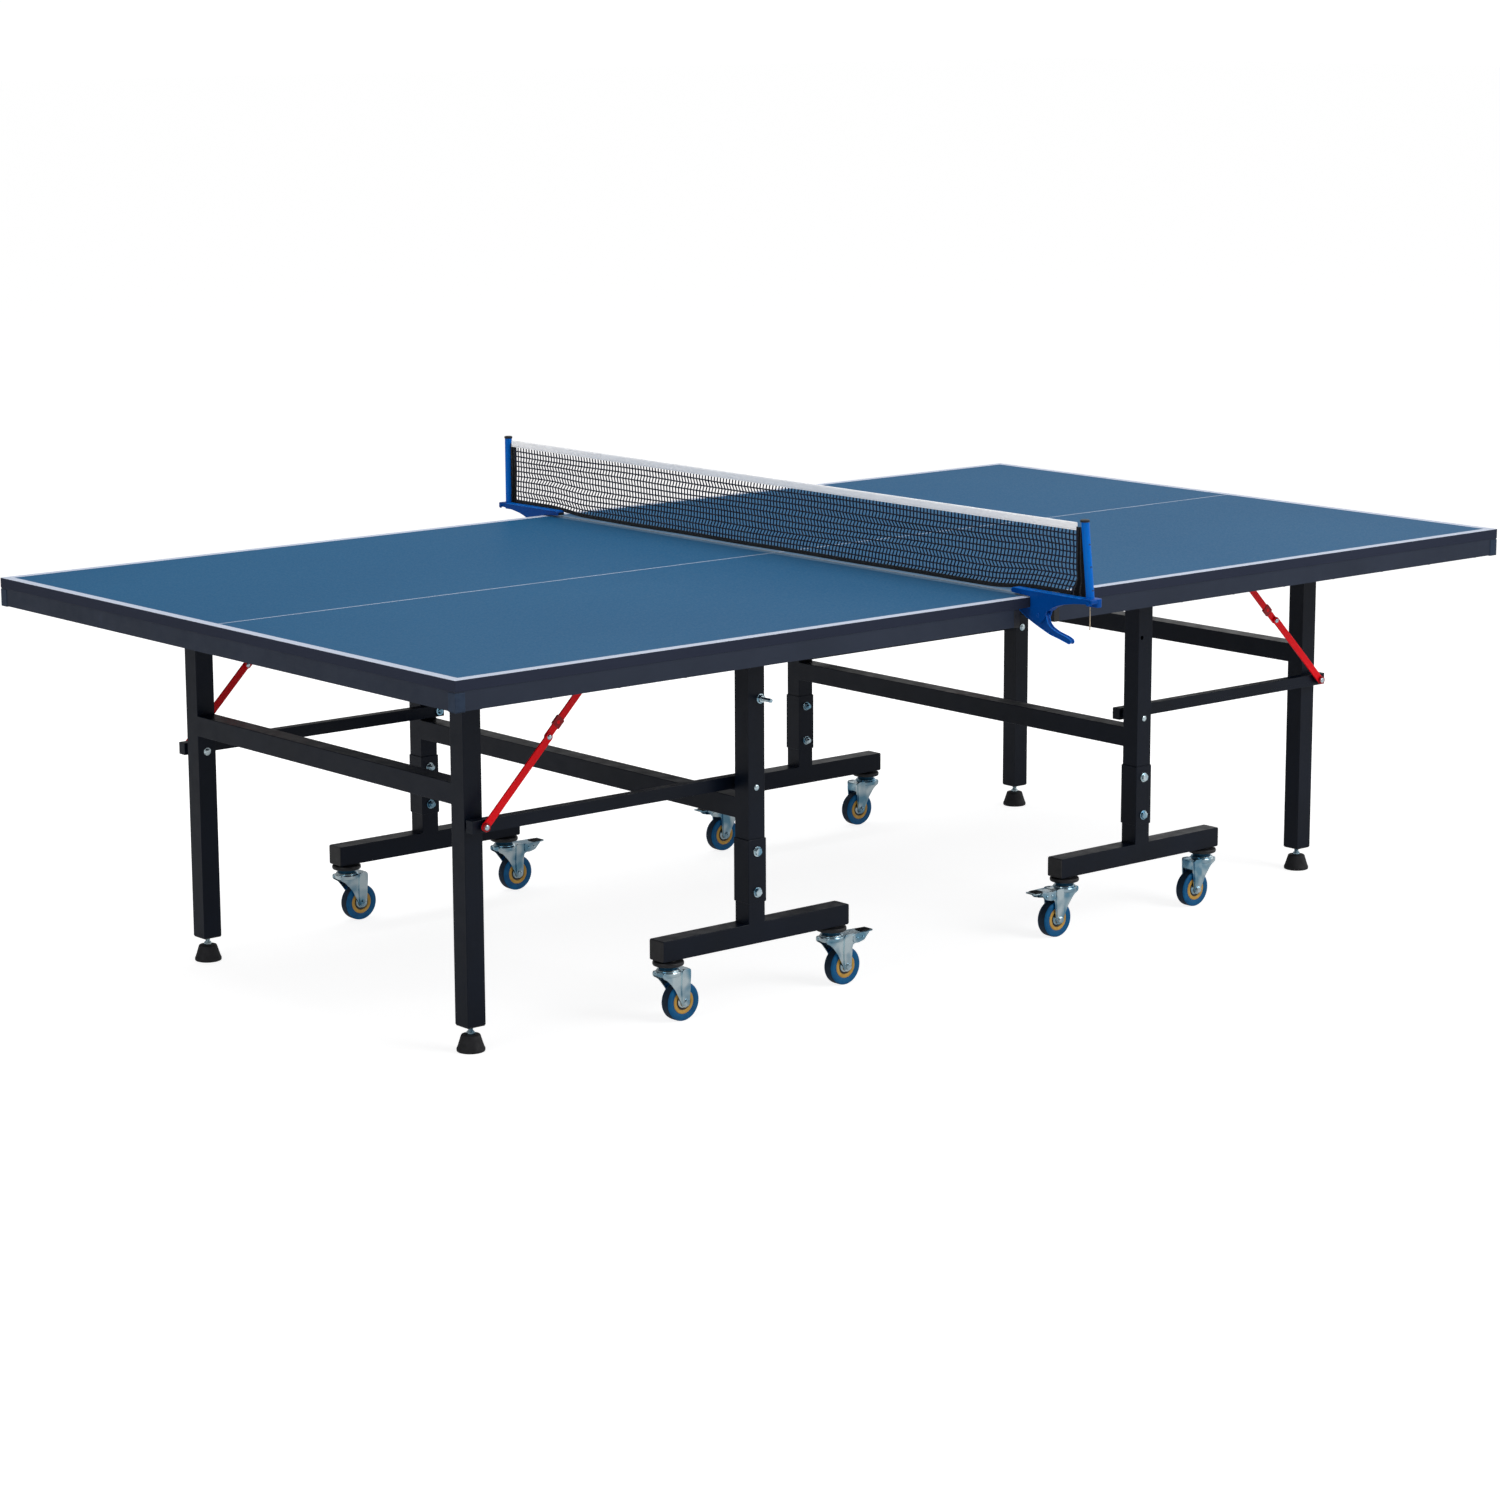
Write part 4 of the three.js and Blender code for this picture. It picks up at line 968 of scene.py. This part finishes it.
def net_sleeve(side):
    """The cloth that fills the gap from the netting to its post, in soft upright pleats."""
    points = []
    for n in range(SLEEVE_ROWS):
        share = n / (SLEEVE_ROWS - 1)
        z = NET_BOTTOM - 0.2 + (TAPE_BOTTOM + 7 - NET_BOTTOM) * share
        inner = sleeve_inner(side, z) + 0.5 * math.sin(1.7 * n) * (1 - share)
        outer = post_y(side, z) - POST_RADIUS - 0.35 - 0.25 * math.sin(2.3 * n)
        depth = 0.9 + 2.4 * (1 - share) ** 2
        middle = []
        for i in range(SLEEVE_ACROSS):
            t = i / (SLEEVE_ACROSS - 1)
            fold = math.sin(2 * math.pi * (2.3 * t + 0.35 * math.sin(3.1 * share + 0.5)))
            crease = 0.35 * math.sin(11 * t + 0.9 * n) * (1 - share)
            x = depth * fold * math.sin(math.pi * t) ** 0.5 + crease
            up = 10 * (1 - share) ** 4 * (1 - 0.6 * i / SLEEVE_ACROSS)
            middle.append((x, SIDES[side] * (inner + (outer - inner) * t), z + up))
        points += [(x + SLEEVE_CLOTH, y, z) for x, y, z in middle]
        points += [(x - SLEEVE_CLOTH, y, z) for x, y, z in middle[::-1]]
    return points, skin(SLEEVE_ROWS, 2 * SLEEVE_ACROSS)


def netting_pieces():
    """The netting with the hem along its foot and its two sleeves."""
    strands = net_strands()
    netting = piece(
        "net_strands", strands, "left_top", "strand", bevel=0, replaces=["netting"], corner=80
    )
    start, end = -sleeve_inner("near", NET_BOTTOM) - 2, sleeve_inner("far", NET_BOTTOM) + 2
    path = []
    for t in np.linspace(0, 1, 90):
        y = start + (end - start) * t
        z = NET_BOTTOM + 4.6 + 0.4 * math.sin(31 * t) + net_lift(y)
        path.append((0.3 * math.sin(23 * t), y, z))
    hem = Shape().sweep(path, HEM_SECTION)
    hem_piece = piece("net_hem", hem, "left_top", "sleeve", bevel=0, corner=60)
    sleeves = Shape()
    for side in SIDES:
        sleeves.put(*net_sleeve(side))
    sleeve_piece = piece("net_sleeves", sleeves, "left_top", "sleeve", bevel=0, corner=70)


def tape_wave(t, depth):
    """How far the tape strays sideways at a share of its length and a depth below its top."""
    return 0.25 * math.sin(19 * t + 0.4 * depth) * depth / TAPE_DEPTH


def tape_sag(t):
    return -0.25 * math.sin(math.pi * t)


def tape_pieces():
    """The tape folded over the netting's top, with a row of stitches on each side."""
    wall = 0.7
    outside = [(1.7, TAPE_BOTTOM), (1.8, NET_TOP - 4), (1.5, NET_TOP - 0.9), (0.6, NET_TOP - 0.1)]
    inside = [(1.7 - wall, TAPE_BOTTOM), (1.8 - wall, NET_TOP - 4), (1.4 - wall, NET_TOP - 1.5)]
    section = [(-x, z) for x, z in outside] + outside[::-1]
    section += inside + [(-x, z) for x, z in inside[::-1]]
    points = []
    stations = np.linspace(TAPE_NEAR, TAPE_FAR, 160)
    for y in stations:
        t = (y - TAPE_NEAR) / TAPE_LENGTH
        points += [(x + tape_wave(t, NET_TOP - z), y, z + tape_sag(t)) for x, z in section]
    tape = Shape().put(points, skin(len(stations), len(section)))
    tape_piece = piece(
        "net_tape_band", tape, "left_top", "tape", bevel=0, replaces=["net_tape"], corner=50
    )
    stitches = Shape()
    pitch, length, half, depth = 4.2, 3, 0.22, TAPE_DEPTH - 2.6
    for y in np.arange(TAPE_NEAR + 3, TAPE_FAR - 3, pitch):
        t = (y - TAPE_NEAR) / TAPE_LENGTH
        z = NET_TOP - depth + tape_sag(t)
        for side in (-1, 1):
            x = side * 1.72 + tape_wave(t, depth)
            stitches.block((x - half, y, z - half), (x + half, y + length, z + half))
    stitch_piece = piece("net_tape_stitches", stitches, "left_top", "stitch", bevel=0)


def tension_cord():
    """The cord's end, which hangs below the near post's clamp."""
    curve = bpy.data.curves.new("tension_cord", "CURVE")
    curve.dimensions = "3D"
    curve.bevel_depth = CORD_RADIUS * MM
    curve.bevel_resolution = 3
    curve.use_fill_caps = True
    spline = curve.splines.new("POLY")
    steps = 17
    spline.points.add(steps)
    for n, point in enumerate(spline.points):
        t = n / steps
        sway = 0.5 * math.sin(math.pi * t) * t
        at = (sway, CORD_Y + 0.6 * sway, CORD_EXIT_Z - CORD_LENGTH * t)
        point.co = (*[value * MM for value in at], 1)
    cord = add_object("tension_cord", curve)
    curve.materials.append(LOOKS["cord"])
    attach(cord, "left_top")
    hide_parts("net_tension_cord")


# ---- Assembly ----
# The width of the rounding along the CAD nodes' edges.
THIN_EDGE, TUBE_EDGE, FOOT_EDGE, LINK_EDGE = 0.5, 1.6, 1.5, 1.2

for half, sx in HALVES.items():
    dress(half + "_playing_board", "board", THIN_EDGE)
    dress(half + "_apron_frame", "apron", THIN_EDGE)
    dress(half + "_carriage_frame", "frame", TUBE_EDGE)
    dress(half + "_end_leg_frame", "frame", TUBE_EDGE)
    for side, sy in SIDES.items():
        prefix, signs = half + "_" + side, (sx, sy)
        dress(prefix + "_t_foot", "frame", FOOT_EDGE)
        dress(prefix + "_link_bar", "frame", LINK_EDGE)
        for place, at in CASTER_AT.items():
            caster = prefix + "_" + place
            caster_wheel(at, signs, caster, caster + "_caster_wheel")
            caster_fork(at, signs, caster, caster + "_caster_fork", place == "inner")
        brake_pedal(CASTER_AT["inner"], signs, prefix, prefix + "_brake_pedal")
        levelling_foot(signs, prefix, prefix + "_levelling_foot")
        stays(signs, half, prefix)
        foot_fittings(signs, half, prefix)
        leg_fittings(signs, half, prefix)
        apron_fittings(signs, half, prefix)
lock_stud()
for side in SIDES:
    net_post(side)
    clamp_lever(side)
netting_pieces()
tape_pieces()
tension_cord()

# ---- Floor and light ----
# How bright the floor and the sky are as light, and as seen by the camera.
FLOOR_GLOW, FLOOR_SEEN = 0.25, 0.85
SKY_SEEN, SKY_DIM, SKY_BRIGHT = 1.05, 0.22, 1.0
# The sky turns from dim to bright between these two X parts of a direction.
SKY_TURN = (0.5, 0.9)
FLOOR_REACH, FLOOR_GREY = 60, (0.5, 0.5, 0.5, 1)
# Each light's place, target and width in metres, and its power in watts.
LIGHTS = {
    "key": ((2.2, -5.5, 3.6), (0, 0, 0.5), 3.5, 135),
    "overhead": ((0, 0.5, 4.2), (0, 0, 0.7), 5, 140),
    "fill": ((-6, -1.5, 2.4), (0, 0, 0.7), 3, 48),
}


def make_floor():
    """A plain pale floor."""
    mesh = bpy.data.meshes.new("floor")
    corners = rectangle(-FLOOR_REACH, -FLOOR_REACH, FLOOR_REACH, FLOOR_REACH)
    mesh.from_pydata([(x, y, 0) for x, y in corners], [], [(0, 1, 2, 3)])
    look = Look("floor_white", specular=0.0)
    look.feed(look.shader, {"Base Color": FLOOR_GREY, "Roughness": 0.9, "Emission Color": WHITE})
    glow = look.remap(look.camera_ray(), 0, 1, FLOOR_GLOW, FLOOR_SEEN)
    look.feed(look.shader, {"Emission Strength": glow})
    mesh.materials.append(look.material)
    add_object("floor", mesh)


def area_light(name, at, target, size, energy):
    data = bpy.data.lights.new(name, "AREA")
    data.energy = energy
    data.size = size
    light = add_object(name, data)
    light.location = at
    light.rotation_euler = (Vector(target) - Vector(at)).to_track_quat("-Z", "Y").to_euler()


def make_light():
    """A white sky that grows brighter towards +X, and three soft lights."""
    world = bpy.data.worlds.new("studio")
    world.use_nodes = True
    sky = Nodes(world.node_tree, "Background")
    ahead = sky.node("TexCoord").outputs["Generated"]
    x = sky.node("SeparateXYZ", {0: ahead}).outputs["X"]
    light = sky.remap(x, *SKY_TURN, SKY_DIM, SKY_BRIGHT)
    strength = sky.remap(sky.camera_ray(), 0, 1, light, SKY_SEEN)
    sky.feed(sky.shader, {"Color": WHITE, "Strength": strength})
    scene = bpy.context.scene
    scene.world = world
    scene.view_settings.view_transform = "Standard"
    for name, settings in LIGHTS.items():
        area_light(name, *settings)


make_floor()
make_light()
